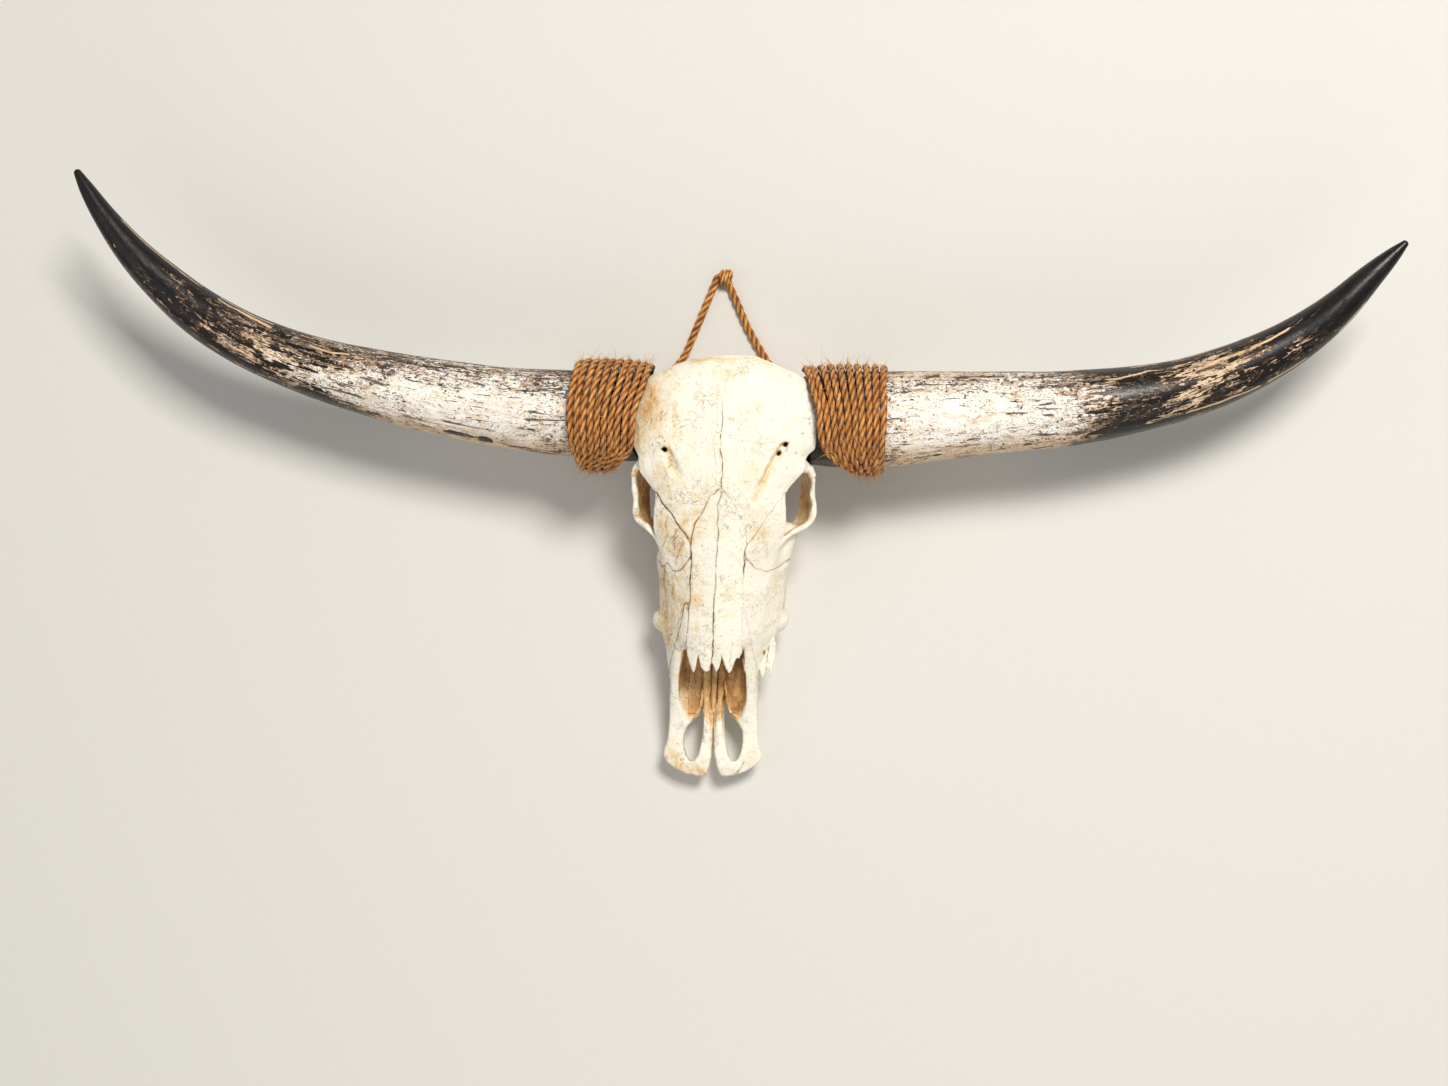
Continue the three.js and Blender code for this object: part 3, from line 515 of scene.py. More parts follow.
# ---------------------------------------------------------------- rope wraps
def wrap(side, axis_y, axis_z, slope_y, slope_z, out_r, mid, near_line, far, turns, horn_r, name, node):
    """One rope wound round a horn's base in turns that lie side by side. near_line gives how near the middle
    of the skull the first turn comes, by its angle round the horn in degrees: 0 at the poll's side, 90 on the
    face's side."""
    start = -np.pi / 2 + 0.25
    a = start + np.linspace(0, 2 * np.pi * turns, int(turns * 2 * np.pi * out_r / (2.0)))
    u = (a - start) / (a[-1] - start)
    uc = np.clip((u * turns - 0.5) / (turns - 1), 0, 1)
    first = through(near_line)(np.mod(np.degrees(a), 360))
    x = (1 - uc) * (first + ROPE_D * 0.5) + uc * (far - ROPE_D * 0.5 - 5 * np.clip(-np.cos(a) - 0.2, 0, 1))
    # Where there isn't room side by side.
    crowd = np.clip(1 - (far - first) / (turns - 0.6) / ROPE_D, 0, 0.6)
    layer = np.where(np.floor(a / (2 * np.pi)) % 2 == 0, 1.0, -1.0)
    barrel = out_r - 6 * np.abs(2 * u - 1) ** 4 - ROPE_D / 2
    barrel = np.maximum(barrel, horn_r + ROPE_D / 2 - 0.2)
    r = barrel + 0.6 * noise(np.stack([np.cos(a) * 40, np.sin(a) * 40, a * 8], -1), 30, 2, seed=side + 2)
    r = np.maximum(r + crowd * ROPE_D * (0.9 * layer - 0.5), horn_r + ROPE_D / 2 - 0.4)
    tuck = np.clip(1 - np.minimum(a - a[0], a[-1] - a) / 0.5, 0, 1)
    r = r - 5.0 * tuck**2
    x = x + 1.2 * noise(np.stack([np.cos(a) * 50, np.sin(a) * 50, a * 6], -1), 24, 2, seed=side + 5)
    path = np.stack([side * x, axis_y + slope_y * (x - mid) + r * np.cos(a),
                     axis_z + slope_z * (x - mid) + r * np.sin(a)], -1)
    v, f, att = laid_rope(path, ROPE_D + 0.3, 40, (0, math.cos(start), math.sin(start)), 18,
                          0.75)
    sides = (len(v) - 2) // len(path)
    rows = np.minimum(np.arange(len(v)) // sides, len(path) - 1)
    out = path - np.stack([path[:, 0], np.full(len(path), axis_y), np.full(len(path), axis_z)], -1)
    out /= np.linalg.norm(out, axis=1)[:, None]
    # 1 on a turn's crest, 0 at its sides.
    crest = ((v - path[rows]) * out[rows]).sum(1) / (ROPE_D / 2)
    # Painted shade also down the sides of each turn, where it meets the next.
    att["lay_shade"] = np.clip(att["lay_shade"] * 0.8 + np.clip(0.75 - crest, 0, 0.9) * 1.1, 0, 1.3)
    piece = make(name, v, f, ROPE, att)
    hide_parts(node)
    n = 900
    pick = RNG.integers(20, len(path) - 20, n)
    t = path[pick + 1] - path[pick - 1]
    t /= np.linalg.norm(t, axis=1)[:, None]
    lift = RNG.uniform(0.1, 1.0, (n, 1))
    direct = out[pick] * lift + t * RNG.choice([-1, 1], (n, 1)) + RNG.normal(size=(n, 3)) * 0.45
    direct /= np.linalg.norm(direct, axis=1)[:, None]
    roots = path[pick] + out[pick] * ROPE_D * 0.42
    room = (197 - roots[:, 2]) / np.maximum(direct[:, 2], 0.08)
    lengths = np.minimum(RNG.gamma(2.0, 4.2, n).clip(3, 26), np.maximum(room, 2))
    hairs(name + "_fibres", roots, direct, lengths)


near_left = [(0, 83), (45, 84.5), (90, 94.5), (115, 97), (135, 101), (148, 111), (162, 119), (180, 126),
             (215, 128), (270, 112), (325, 92), (360, 84)]
near_right = [(0, 89), (45, 99), (90, 111.5), (115, 114.5), (133, 121), (148, 133), (162, 143), (180, 149),
              (215, 146), (270, 122), (325, 99), (360, 90)]
wrap(-1, -76, 123, 0.02, -0.03, 67.5, 106, near_left, 177, 10, 53.2, "wrap_rope_left", "rope_wrap_left")
wrap(1, -74, 123, 0.035, -0.03, 65.5, 116, near_right, 192, 10, 55.2, "wrap_rope_right", "rope_wrap_right")

# ---------------------------------------------------------------- the skull's profiles along Y
TOP_Z = through([(-508, 37), (-485, 42), (-455, 46), (-430, 55), (-400, 71), (-375, 87), (-352, 108),
                 (-340, 125), (-300, 137), (-250, 151), (-210, 161), (-170, 172), (-130, 182), (-90, 187),
                 (-45, 185), (-20, 177), (-5, 161)])
BROW_X = through([(-508, 5), (-485, 26), (-440, 34), (-380, 36), (-345, 32), (-250, 33), (-210, 44),
                  (-170, 52), (-90, 62), (-45, 52), (-20, 34), (-8, 14)])
BROW_DROP = through([(-508, 1), (-440, 1), (-380, 3), (-345, 8), (-250, 8), (-210, 6), (-170, 4), (-90, 4),
                     (-8, 2)])
CREST_X = through([(-508, 10), (-503, 31), (-494, 48), (-486, 57), (-478, 60), (-462, 55), (-400, 52),
                   (-375, 50), (-350, 49), (-310, 54), (-270, 60), (-235, 69), (-215, 78), (-203, 83),
                   (-185, 82), (-166, 80), (-150, 92), (-137, 103), (-121, 104.5), (-108, 111.5),
                   (-88, 112.5), (-70, 111.5), (-52, 108), (-38, 103), (-26, 84), (-15, 57), (-9, 44),
                   (-5, 31)])
CREST_Z = through([(-508, 34), (-460, 43), (-430, 51), (-400, 66), (-375, 80), (-350, 96), (-300, 110),
                   (-250, 122), (-212, 136), (-180, 150), (-150, 156), (-88, 160), (-50, 157), (-25, 150),
                   (-8, 146)])
SIDE_X = through([(-508, 11), (-503, 31), (-494, 49), (-486, 58), (-478, 60), (-462, 56), (-440, 54),
                  (-397, 54), (-375, 58), (-345, 65), (-314, 75), (-270, 78), (-240, 78), (-222, 70),
                  (-205, 54), (-180, 48), (-150, 50), (-110, 58), (-88, 64), (-60, 70), (-36, 70), (-20, 54),
                  (-8, 27)])
SIDE_Z = through([(-508, 32), (-440, 38), (-397, 52), (-375, 64), (-345, 74), (-300, 80), (-240, 97),
                  (-205, 122), (-180, 134), (-150, 136), (-110, 126), (-60, 116), (-30, 116), (-8, 132)])
LOW_X = through([(-508, 9), (-503, 28), (-494, 46), (-486, 55), (-478, 56), (-440, 50), (-397, 46),
                 (-375, 52), (-345, 62), (-315, 73), (-270, 76), (-240, 73), (-222, 60), (-205, 42),
                 (-180, 38), (-150, 41), (-110, 50), (-60, 60), (-38, 66), (-20, 52), (-8, 22)])
LOW_Z = through([(-508, 29), (-440, 29), (-397, 34), (-375, 40), (-345, 46), (-300, 48), (-250, 56),
                 (-222, 72), (-205, 86), (-150, 80), (-110, 76), (-60, 68), (-38, 66), (-20, 84), (-8, 114)])
BASE_X = through([(-508, 6), (-494, 32), (-478, 44), (-440, 42), (-397, 36), (-375, 40), (-345, 50),
                  (-315, 60), (-270, 66), (-232, 62), (-214, 42), (-202, 24), (-180, 20), (-150, 25),
                  (-110, 34), (-60, 44), (-38, 42), (-20, 34), (-8, 14)])
BASE_Z = through([(-508, 27), (-478, 25), (-440, 24), (-397, 23), (-345, 22), (-250, 24), (-222, 36),
                  (-205, 54), (-180, 58), (-150, 52), (-110, 46), (-60, 42), (-38, 42), (-20, 58), (-8, 103)])
KEEL_Z = through([(-508, 27), (-440, 27), (-375, 33), (-300, 36), (-230, 40), (-205, 52), (-150, 50),
                  (-110, 45), (-60, 43), (-38, 46), (-20, 64), (-8, 102)])


def rounded(ring, cut):
    nxt = np.roll(ring, -1, 0)
    return np.stack([ring + (nxt - ring) * cut, ring + (nxt - ring) * (1 - cut)], 1).reshape(-1, 2)


def section(y):
    half = [(0, TOP_Z(y)), (BROW_X(y), TOP_Z(y) - BROW_DROP(y)), (CREST_X(y), CREST_Z(y)),
            (SIDE_X(y), SIDE_Z(y)), (LOW_X(y), LOW_Z(y)), (BASE_X(y), BASE_Z(y)), (0, KEEL_Z(y))]
    ring = np.array(half + [(-x, z) for x, z in half[-2:0:-1]], float)
    return rounded(rounded(ring, 0.15), 0.24)


def to_ring(ring, points):
    """Signed distance from points to a closed outline, below zero inside it."""
    a, b = ring, np.roll(ring, -1, 0)
    e = b - a
    w = points[:, None, :] - a[None]
    t = np.clip((w * e).sum(-1) / np.maximum((e * e).sum(-1), 1e-9), 0, 1)
    d = w - e[None] * t[..., None]
    dist = np.sqrt((d * d).sum(-1).min(1))
    starts_below, ends_below = a[:, 1] <= points[:, 1:], b[:, 1] <= points[:, 1:]
    rise_of = np.where(e[:, 1] == 0, 1e-9, e[:, 1])
    crosses = ((starts_below != ends_below) & (points[:, :1] < a[:, 0]
                                               + e[:, 0] * (points[:, 1:] - a[:, 1]) / rise_of))
    return np.where(crosses.sum(1) % 2 == 1, -dist, dist)


def near(a, b, k):
    """The nearer of two distances, with their join rounded over k."""
    h = np.clip(0.5 + 0.5 * (b - a) / k, 0, 1)
    return b + (a - b) * h - k * h * (1 - h)


def far_of(a, b, k):
    return -near(-a, -b, k)


class Field:
    """Signed distances on a grid, with shapes added and carved in boxes of it."""

    def __init__(self, lo, hi, step):
        self.lo, self.step = np.array(lo, float), step
        self.axes = [np.arange(a, b + step, step) for a, b in zip(lo, hi)]
        self.v = np.full([len(a) for a in self.axes], FAR, np.float32)

    def box(self, lo, hi):
        cut = []
        for k in range(3):
            i0 = int(np.clip(np.floor((lo[k] - self.lo[k]) / self.step), 0, len(self.axes[k]) - 1))
            i1 = int(np.clip(np.ceil((hi[k] - self.lo[k]) / self.step) + 1, i0 + 1, len(self.axes[k])))
            cut.append(slice(i0, i1))
        x, y, z = (self.axes[k][cut[k]] for k in range(3))
        return tuple(cut), x[:, None, None], y[None, :, None], z[None, None, :]

    def add(self, lo, hi, shape, k=4.0, sides=(1, -1)):
        self._change(lo, hi, shape, k, sides, 1)

    def carve(self, lo, hi, shape, k=2.0, sides=(1, -1)):
        self._change(lo, hi, shape, k, sides, -1)

    def _change(self, lo, hi, shape, k, sides, sign):
        for side in sides:
            m = k + 2
            a, b = ((lo[0], hi[0]) if side > 0 else (-hi[0], -lo[0]))
            cut, x, y, z = self.box((a - m, lo[1] - m, lo[2] - m), (b + m, hi[1] + m, hi[2] + m))
            d = shape(side * x, y, z)
            old = self.v[cut]
            self.v[cut] = near(old, d, k) if sign > 0 else far_of(old, -d, k)

    def at(self, points):
        """The field at points, between its grid's values."""
        return between(self.v, self.lo, self.step, points)


def egg(cx, cy, cz, rx, ry, rz):
    def shape(x, y, z):
        a, b, c = (x - cx), (y - cy), (z - cz)
        k0 = np.sqrt((a / rx)**2 + (b / ry)**2 + (c / rz)**2)
        k1 = np.sqrt((a / rx**2)**2 + (b / ry**2)**2 + (c / rz**2)**2)
        return k0 * (k0 - 1) / np.maximum(k1, 1e-6)
    return shape


def rod(p, q, rp, rq):
    """A round bar from p to q whose radius goes from rp to rq."""
    p, q = np.array(p, float), np.array(q, float)
    e = q - p

    def shape(x, y, z):
        t = np.clip(((x - p[0]) * e[0] + (y - p[1]) * e[1] + (z - p[2]) * e[2]) / (e @ e), 0, 1)
        return (np.sqrt((x - p[0] - t * e[0])**2 + (y - p[1] - t * e[1])**2 + (z - p[2] - t * e[2])**2)
                - (rp + (rq - rp) * t))
    return shape


def bounds_of(points, r):
    p = np.array(points, float)
    return p.min(0) - r, p.max(0) + r


# ---------------------------------------------------------------- the skull, whole
skull = Field((-124, -514, -4), (124, 6, 196), STEP)
X, Y, Z = skull.axes
pos_x = np.abs(X[X >= -STEP / 2 - 1e-6])
plane = np.stack(np.meshgrid(pos_x, Z, indexing="ij"), -1).reshape(-1, 2)
stations = np.arange(-508, -4.5, 2 * STEP)
slices = np.stack([to_ring(section(y), plane).reshape(-1, len(Z)) for y in stations]).astype(np.float32)
# The muzzle's own bend.
swing = through([(-508, -0.5), (-485, -0.6), (-468, -1.8), (-440, -1.8), (-410, -2.8), (-375, -3.6),
                 (-350, -2.8), (-325, 0), (0, 0)])
# How much wider or narrower than the profiles the skull is on each side.
WIDTH = {1: through([(-508, 1), (-300, 1), (-225, 1), (-126, 1.0), (-110, 1.065), (-99, 1.085), (-84, 1.09),
                     (-66, 1.08), (-51, 1.035), (-41, 0.995), (-30, 1.0), (-21, 1.015), (-10, 1.03),
                     (-4, 1.0)]), -1: through([(-508, 1), (-410, 1), (-385, 0.97), (-366, 0.95),
                                               (-345, 0.945), (-325, 0.975), (-300, 0.95), (-269, 0.955),
                                               (-241, 1), (-225, 1), (-118, 1), (-91, 1.012), (-65, 1.03),
                                               (-44, 1.04), (-31, 1.11), (-20, 1.19), (-10, 1.25),
                                               (-4, 1.28)])}
for j, y in enumerate(Y):
    off = X - swing(y)
    ix = np.clip((np.abs(off) / np.where(off > 0, WIDTH[1](y), WIDTH[-1](y)) - pos_x[0]) / STEP, 0,
                 len(pos_x) - 1.001)
    i0, fx = ix.astype(int), (ix - ix.astype(int))[:, None]
    q = np.clip((y - stations[0]) / (2 * STEP), 0, len(stations) - 1.001)
    k = int(q)
    s = slices[k] * (1 - q + k) + slices[k + 1] * (q - k)
    skull.v[:, j, :] = s[i0] * (1 - fx) + s[i0 + 1] * fx
y3, z3 = Y[None, :, None], Z[None, None, :]
skull.v = far_of(skull.v, (-506.5 - y3) + 0 * skull.v, 5.0)
skull.v = far_of(skull.v, (y3 + 4.0) + 0 * skull.v, 7.0).astype(np.float32)
for _ in range(2):                                             # takes the stations' facets out
    skull.v[:, 1:-1] = 0.25 * skull.v[:, :-2] + 0.5 * skull.v[:, 1:-1] + 0.25 * skull.v[:, 2:]

# The nose: a deep opening under the nasals that runs out as a trough between the premaxillae.
nose_w = through([(-468, 10), (-447, 34), (-437, 37), (-425, 39.3), (-408, 40.5), (-385, 40.2), (-368, 38),
                  (-353, 35.5), (-320, 31), (-285, 14)])
nose_floor = through([(-468, 41), (-440, 43), (-415, 44), (-380, 45), (-353, 46), (-320, 50), (-285, 62)])
nose_roof = through([(-468, 90), (-440, 110), (-415, 120), (-353, 118), (-350, 107), (-320, 112), (-285, 98)])


def nose(x, y, z):
    x = x - swing(y)
    w, z0, z1 = nose_w(y), nose_floor(y) + 0.0006 * np.minimum(np.abs(x), 40)**2.6, nose_roof(y)
    a, b = np.abs(x) - w + 9, np.abs(z - (z0 + z1) / 2) - (z1 - z0) / 2 + 9
    d = np.sqrt(np.maximum(a, 0)**2 + np.maximum(b, 0)**2) + np.minimum(np.maximum(a, b), 0) - 9
    return np.maximum(d, np.maximum(-470 - y, y + 283))


skull.carve((-42, -472, 36), (42, -281, 128), nose, 3.0, sides=(1,))

# Nasal bones reach out over it as thin curved plates.
plate_z = through([(-377, 111), (-360, 117.5), (-340, 124.5), (-318, 130.5)])


def nasal_plate(x, y, z):
    top = (plate_z(y) - 10.5 * np.abs(x / 34)**2.4 + 0.8 * np.exp(-(np.abs(np.abs(x) - 15) / 9)**2)
           - 0.8 * bell(x, 3.5))
    thick = 4.2 + 4.0 * np.clip((y + 376) / 50, 0, 1)
    d = np.maximum(z - top, top - thick - z) * 0.9
    return np.maximum(d, np.maximum(np.abs(x) - 34, np.maximum(-378 - y, y + 312)))


skull.add((-36, -378, 92), (36, -312, 134), nasal_plate, 4.0, sides=(1,))
TIPS = np.array([(-60, -330), (-38, -340), (-34, -347), (-32, -349.5), (-29.5, -358), (-26, -369),
                 (-22.8, -375), (-20.8, -371), (-19.3, -361), (-17.9, -350.5), (-16.2, -358), (-14, -367),
                 (-10.8, -372), (-6.5, -373), (-3.2, -371.5), (-1.6, -363), (-0.6, -362), (1.6, -368),
                 (4.6, -373.5), (7.2, -370), (9.2, -362), (10.4, -352.5), (12.4, -360), (15.5, -369),
                 (19.6, -375.5), (22.4, -371), (25.2, -361), (27.6, -356.5), (30.2, -357.5), (32.4, -352),
                 (34, -346), (38, -338), (60, -330), (60, -420), (-60, -420)])
near_tips = np.stack(np.meshgrid(X, Y[(Y > -384) & (Y < -326)], indexing="ij"), -1)
tips = to_ring(TIPS, near_tips.reshape(-1, 2)).reshape(near_tips.shape[:2])
yt = slice(int(np.argmax(Y > -384)), int(np.argmax(Y > -384)) + near_tips.shape[1])
above = Z > 88
block = skull.v[:, yt, :][:, :, above]
inside_x = np.clip(np.abs(X) - 34.5, 0, 60)[:, None, None]
skull.v[:, yt, int(np.argmax(above)):] = np.where(inside_x > 0, block,
                                                  far_of(block, -tips[:, :, None] + 0 * block, 1.2))

# The vomer and the palatine processes of the premaxillae, with a fissure on each side.
vomer_w = through([(-432, 0.6), (-424, 2.6), (-405, 4.4), (-380, 5.2), (-330, 6), (-292, 4)])
vomer_top = through([(-432, 46), (-424, 50), (-380, 56), (-330, 66), (-292, 80)])


def vomer(x, y, z):
    over = z - vomer_top(y)
    walls = np.abs(x + 3.0) - vomer_w(y) + 0.25 * np.clip(over + 12, 0, 12)
    lid = over + 1.6 * np.exp(-((x + 3.6) / 1.3)**2) + 1.2 * np.exp(-((x - 0.2) / 1.0)**2)
    return most(walls, lid, 26 - z, -433 - y, y + 290)


skull.add((-14, -434, 24), (12, -290, 84), vomer, 1.2, sides=(1,))
BARS = {1: through([(-480, 7.2), (-458, 6.6), (-444, 5.6), (-425, 5.0), (-372, 5.8), (-340, 6.5)]),
        -1: through([(-480, 9.0), (-458, 9.6), (-444, 10.2), (-425, 11.4), (-372, 11.6), (-340, 12)])}
bar_w = through([(-480, 5.6), (-458, 4.6), (-444, 4.0), (-425, 3.5), (-340, 3.2)])
bar_top = through([(-484, 37), (-455, 45), (-428, 48.5), (-400, 53), (-372, 57), (-350, 60)])


def bar(x, y, z, side):
    off = x - BARS[side](y)
    walls = np.abs(off) - bar_w(y) - 0.3 * np.sin(y / 9)
    return most(walls, z - bar_top(y) + 0.09 * off**2, 27 - z, -484 - y, y + 346)


for side in (1, -1):
    skull.add((0, -486, 24), (18, -344, 62), lambda x, y, z: bar(x, y, z, side), 1.6, sides=(side,))
FISSURE = {1: [(8.9, -421.5), (8.6, -399), (10.2, -402), (11.4, -410), (14, -422), (17, -428.5), (22, -433),
               (29, -440), (33.8, -447), (34.8, -456), (34.6, -466), (33.4, -475), (30.8, -482),
               (27.3, -486.3), (23, -486), (18.6, -480), (15.4, -470), (12.8, -458), (10.6, -444),
               (9.4, -432)],
           -1: [(-15.2, -428), (-15.1, -412), (-16.3, -414), (-18, -424), (-21, -430.5), (-26, -436),
                (-33, -443.5), (-36.8, -452), (-37.6, -462), (-36.6, -472), (-33.4, -480), (-28.5, -486.5),
                (-23.5, -486.5), (-19, -481), (-16, -470), (-14.6, -455), (-14.4, -440)]}
plan_xy = np.stack(np.meshgrid(X, Y, indexing="ij"), -1).reshape(-1, 2)


def prism(outline, points, lo, hi):
    """Signed distance to an outline in plan at the points between lo and hi, and far away at the others."""
    out = np.full(len(points), FAR)
    some = np.all((points > lo) & (points < hi), axis=1)
    out[some] = to_ring(np.array(outline, float), points[some])
    return out.reshape(len(X), len(Y))[:, :, None]


for side in (1, -1):
    fissure = prism(FISSURE[side], plan_xy, (-50, -500), (50, -405))
    skull.v = far_of(skull.v, -fissure + 0 * skull.v, 3.0).astype(np.float32)
split_x = through([(-508, 1.2), (-489, 0.4), (-466, -1.2), (-430, -2.8)])
split = through([(-514, 16), (-508, 12.5), (-502, 8.6), (-497, 6.4), (-489, 4.0), (-483, 3.0), (-466, 1.7),
                 (-440, 0.9), (-428, 0.6)])
skull.carve((-20, -514, 0), (20, -424, 90),
            lambda x, y, z: np.abs(x - split_x(y)) - split(y) + 0 * z + 40 * (y > -426), 3.0, sides=(1,))
for side, line in [(1, [(8.6, -372, 58), (11.2, -395, 56), (13.6, -411, 53), (18, -424, 50), (26, -431, 47)]),
                   (-1, [(15.2, -376, 56), (16.4, -400, 54), (18.6, -418, 51), (23, -428, 49),
                         (30, -435, 46)])]:
    for p, q in zip(line[:-1], line[1:]):
        skull.add(*bounds_of([p, q], 3), rod(p, q, 1.3, 1.3), 2.2, sides=(side,))
        low = [np.array(p) - [0, 0, 5], np.array(q) - [0, 0, 5]]
        skull.add(*bounds_of(low, 3), rod(low[0], low[1], 1.5, 1.5), 2.2, sides=(side,))

# What stands out of the sides and the base.
skull.add(*bounds_of([(72, -314, 60)], 18), egg(71, -313, 60, 11.5, 13, 15), 9)
crest_line = [(73, -300, 64), (73.5, -270, 72), (74.5, -245, 84)]
for p, q in zip(crest_line[:-1], crest_line[1:]):
    skull.add(*bounds_of([p, q], 6), rod(p, q, 3.0, 3.0), 5, sides=(1,))
skull.add(*bounds_of([(77, -209, 107), (69, -244, 96)], 18), rod((77, -209, 107), (69, -244, 96), 12.2, 11.0),
          9, sides=(1,))
skull.add(*bounds_of([(25, -23, 29)], 24), egg(25, -23, 29, 16.5, 16, 21), 9)
skull.add(*bounds_of([(46, -58, 40)], 28), egg(46, -58, 40, 22, 25, 30), 8)


def process(x, y, z):
    """The process behind the jaw joint, one of the points that the skull rests on."""
    off = np.sqrt(((x - 52) / (5.5 + 0.115 * z))**2 + ((y + 44 + 0.13 * z) / (5.5 + 0.17 * z))**2) - 1
    return np.maximum(off, 0 * z - 1) * (5.5 + 0.13 * z)


def pterygoid(x, y, z):
    down = 60 - z
    return most(np.abs(x - 23 - 0.08 * down) - 2.4, 22 - z, z - 62, -214 - 0.2 * down - y,
                y + 152 + 0.55 * down)


def horn_core(x, y, z):
    radius = through([(50, 32), (70, 38), (84, 39.5)])(x)
    return most(np.sqrt((y + 75)**2 + (z - 121)**2) - radius, 50 - x, x - 84)


skull.add((36, -64, 0), (66, -38, 62), process, 4)
skull.add(*bounds_of([(36, -88, 38)], 18), egg(36, -88, 38, 11, 16, 17), 5)
skull.add((18, -218, 22), (30, -148, 62), pterygoid, 2.5)
skull.add((46, -118, 78), (88, -34, 165), horn_core, 6)
for side, brow in [(1, [(80, -127, 151), (94, -132.5, 149), (103, -139.5, 144)]),
                   (-1, [(80, -124, 151), (94, -128.5, 149), (102.5, -135, 145)])]:
    skull.add(*bounds_of(brow[:2], 12), rod(brow[0], brow[1], 8.5, 6.2), 7, sides=(side,))
    skull.add(*bounds_of(brow[1:], 10), rod(brow[1], brow[2], 6.2, 4.2), 4, sides=(side,))

# The orbit's ring: a ribbon from the brow's outer end, round below the eye, to the lacrimal, with the arch
# behind it.
RIMS = {1: [(101.5, -135.5, 147), (106, -149, 140), (105.2, -166, 130), (107.8, -176, 126),
            (107.2, -187, 123), (104.2, -196, 121.5), (98.5, -202, 122.5), (90, -206, 126), (80, -213, 130),
            (62, -230, 124)],
        -1: [(101, -132.5, 147), (104.6, -146, 140), (102.4, -167, 129), (101.8, -182, 124.5),
             (99.2, -192.5, 121.5), (94, -198, 121.5), (88, -201, 125.5), (80, -209, 130), (62, -230, 124)]}
SILLS = {1: [(91, -135, 118), (91.5, -148, 110), (90.5, -166, 98), (89.5, -181, 91), (86.5, -192, 89),
             (81.5, -200, 90), (75, -213, 90), (60, -238, 92)],
         -1: [(92, -137, 118), (96.5, -148, 110), (96, -166, 98), (94.5, -180, 91), (90, -191, 89),
              (82, -198, 90), (75, -211, 90), (60, -238, 92)]}
ARCH = spline([(93, -184, 91), (97, -160, 87), (94, -130, 78), (86, -106, 67), (72, -88, 62), (54, -80, 60)],
              9)
ring_lo, ring_hi = bounds_of(np.vstack([RIMS[1], SILLS[1], SILLS[-1], ARCH]), 12)
orbits = []
for side in (1, -1):
    a, b = (ring_lo[0], ring_hi[0]) if side > 0 else (-ring_hi[0], -ring_lo[0])
    cut, x, y, z = skull.box((a, ring_lo[1], ring_lo[2]), (b, ring_hi[1], ring_hi[2]))
    d = np.full(skull.v[cut].shape, FAR)
    for i, (r, l) in enumerate(zip(spline(RIMS[side], 34), spline(SILLS[side], 34))):
        mid = (r + l) / 2 + np.array([1.2, 0, 0])
        lip = 2.9 + 0.5 * math.sin(i * 0.9) + 0.9 * math.exp(-((i - 19) / 5) ** 2)
        d = near(d, rod(r, mid, lip, 2.0)(side * x, y, z), 1.2)
        d = near(d, rod(mid, l, 2.0, 2.4)(side * x, y, z), 1.2)
    for p, q in zip(ARCH[:-1] * [1, 1, 0.8], ARCH[1:] * [1, 1, 0.8]):
        d = near(d, rod(p, q, 4.2, 4.6)(side * x, y, z * 0.8), 3.0)
    orbits.append((cut, d.astype(np.float32)))
    skull.v[cut] = near(skull.v[cut], d, 3.5)

# The thin broken edge of the right maxilla, hanging in splinters beside the premaxilla.
FLAKE = np.array([(50, -334), (68, -334), (70, -344), (69.6, -355), (68.2, -366), (66.6, -380), (64.4, -384),
                  (63.6, -373), (61.8, -370.5), (59.2, -375), (57.6, -381.5), (55.2, -382.5), (53.6, -376),
                  (51.4, -371), (50, -360)], float)
flake = prism(FLAKE, plan_xy, (44, -392), (76, -326))
leaf = 74.5 + 0.22 * (y3 + 350) - 0.42 * (X[:, None, None] - 58) + 1.2 * np.sin(y3 / 5.0)
skull.v = near(skull.v, np.maximum(flake, np.abs(z3 - leaf) - 1.6), 2.0).astype(np.float32)
skull.carve(*bounds_of([(56.5, -352, 72)], 8), egg(56.5, -352, 74, 1.5, 3.4, 8), 1.0, sides=(1,))

# Cheek teeth, worn flat at the floor.
for y0, x0, w, l in [(-226, 54.5, 11.6, 12.2), (-250, 54, 12, 11.8), (-274, 52, 11.5, 11.5),
                     (-295, 50, 10, 9.6), (-314, 47.5, 9.1, 8.9), (-331, 45, 7.6, 7.8)]:
    def tooth(x, y, z):
        u = (y - y0) / l
        rib = w - 1.0 + 0.9 * np.cos(2 * np.pi * u) - 0.05 * z
        a, b = np.abs(x - x0) - rib + 3, np.abs(y - y0) - l + 3
        d = np.sqrt(np.maximum(a, 0)**2 + np.maximum(b, 0)**2) + np.minimum(np.maximum(a, b), 0) - 3
        pit = np.abs(np.sqrt((x - x0 - 1.5)**2 + (np.abs(y - y0) - l * 0.5)**2 * 0.6) - 3.4) - 0.8
        return np.maximum(np.maximum(d, z - 40), -np.maximum(pit, z - 2.2))
    skull.add((x0 - w - 1, y0 - l - 1, -3), (x0 + w + 1, y0 + l + 1, 42), tooth, 1.0)
skull.v = np.maximum(skull.v, -z3).astype(np.float32)          # nothing below the floor

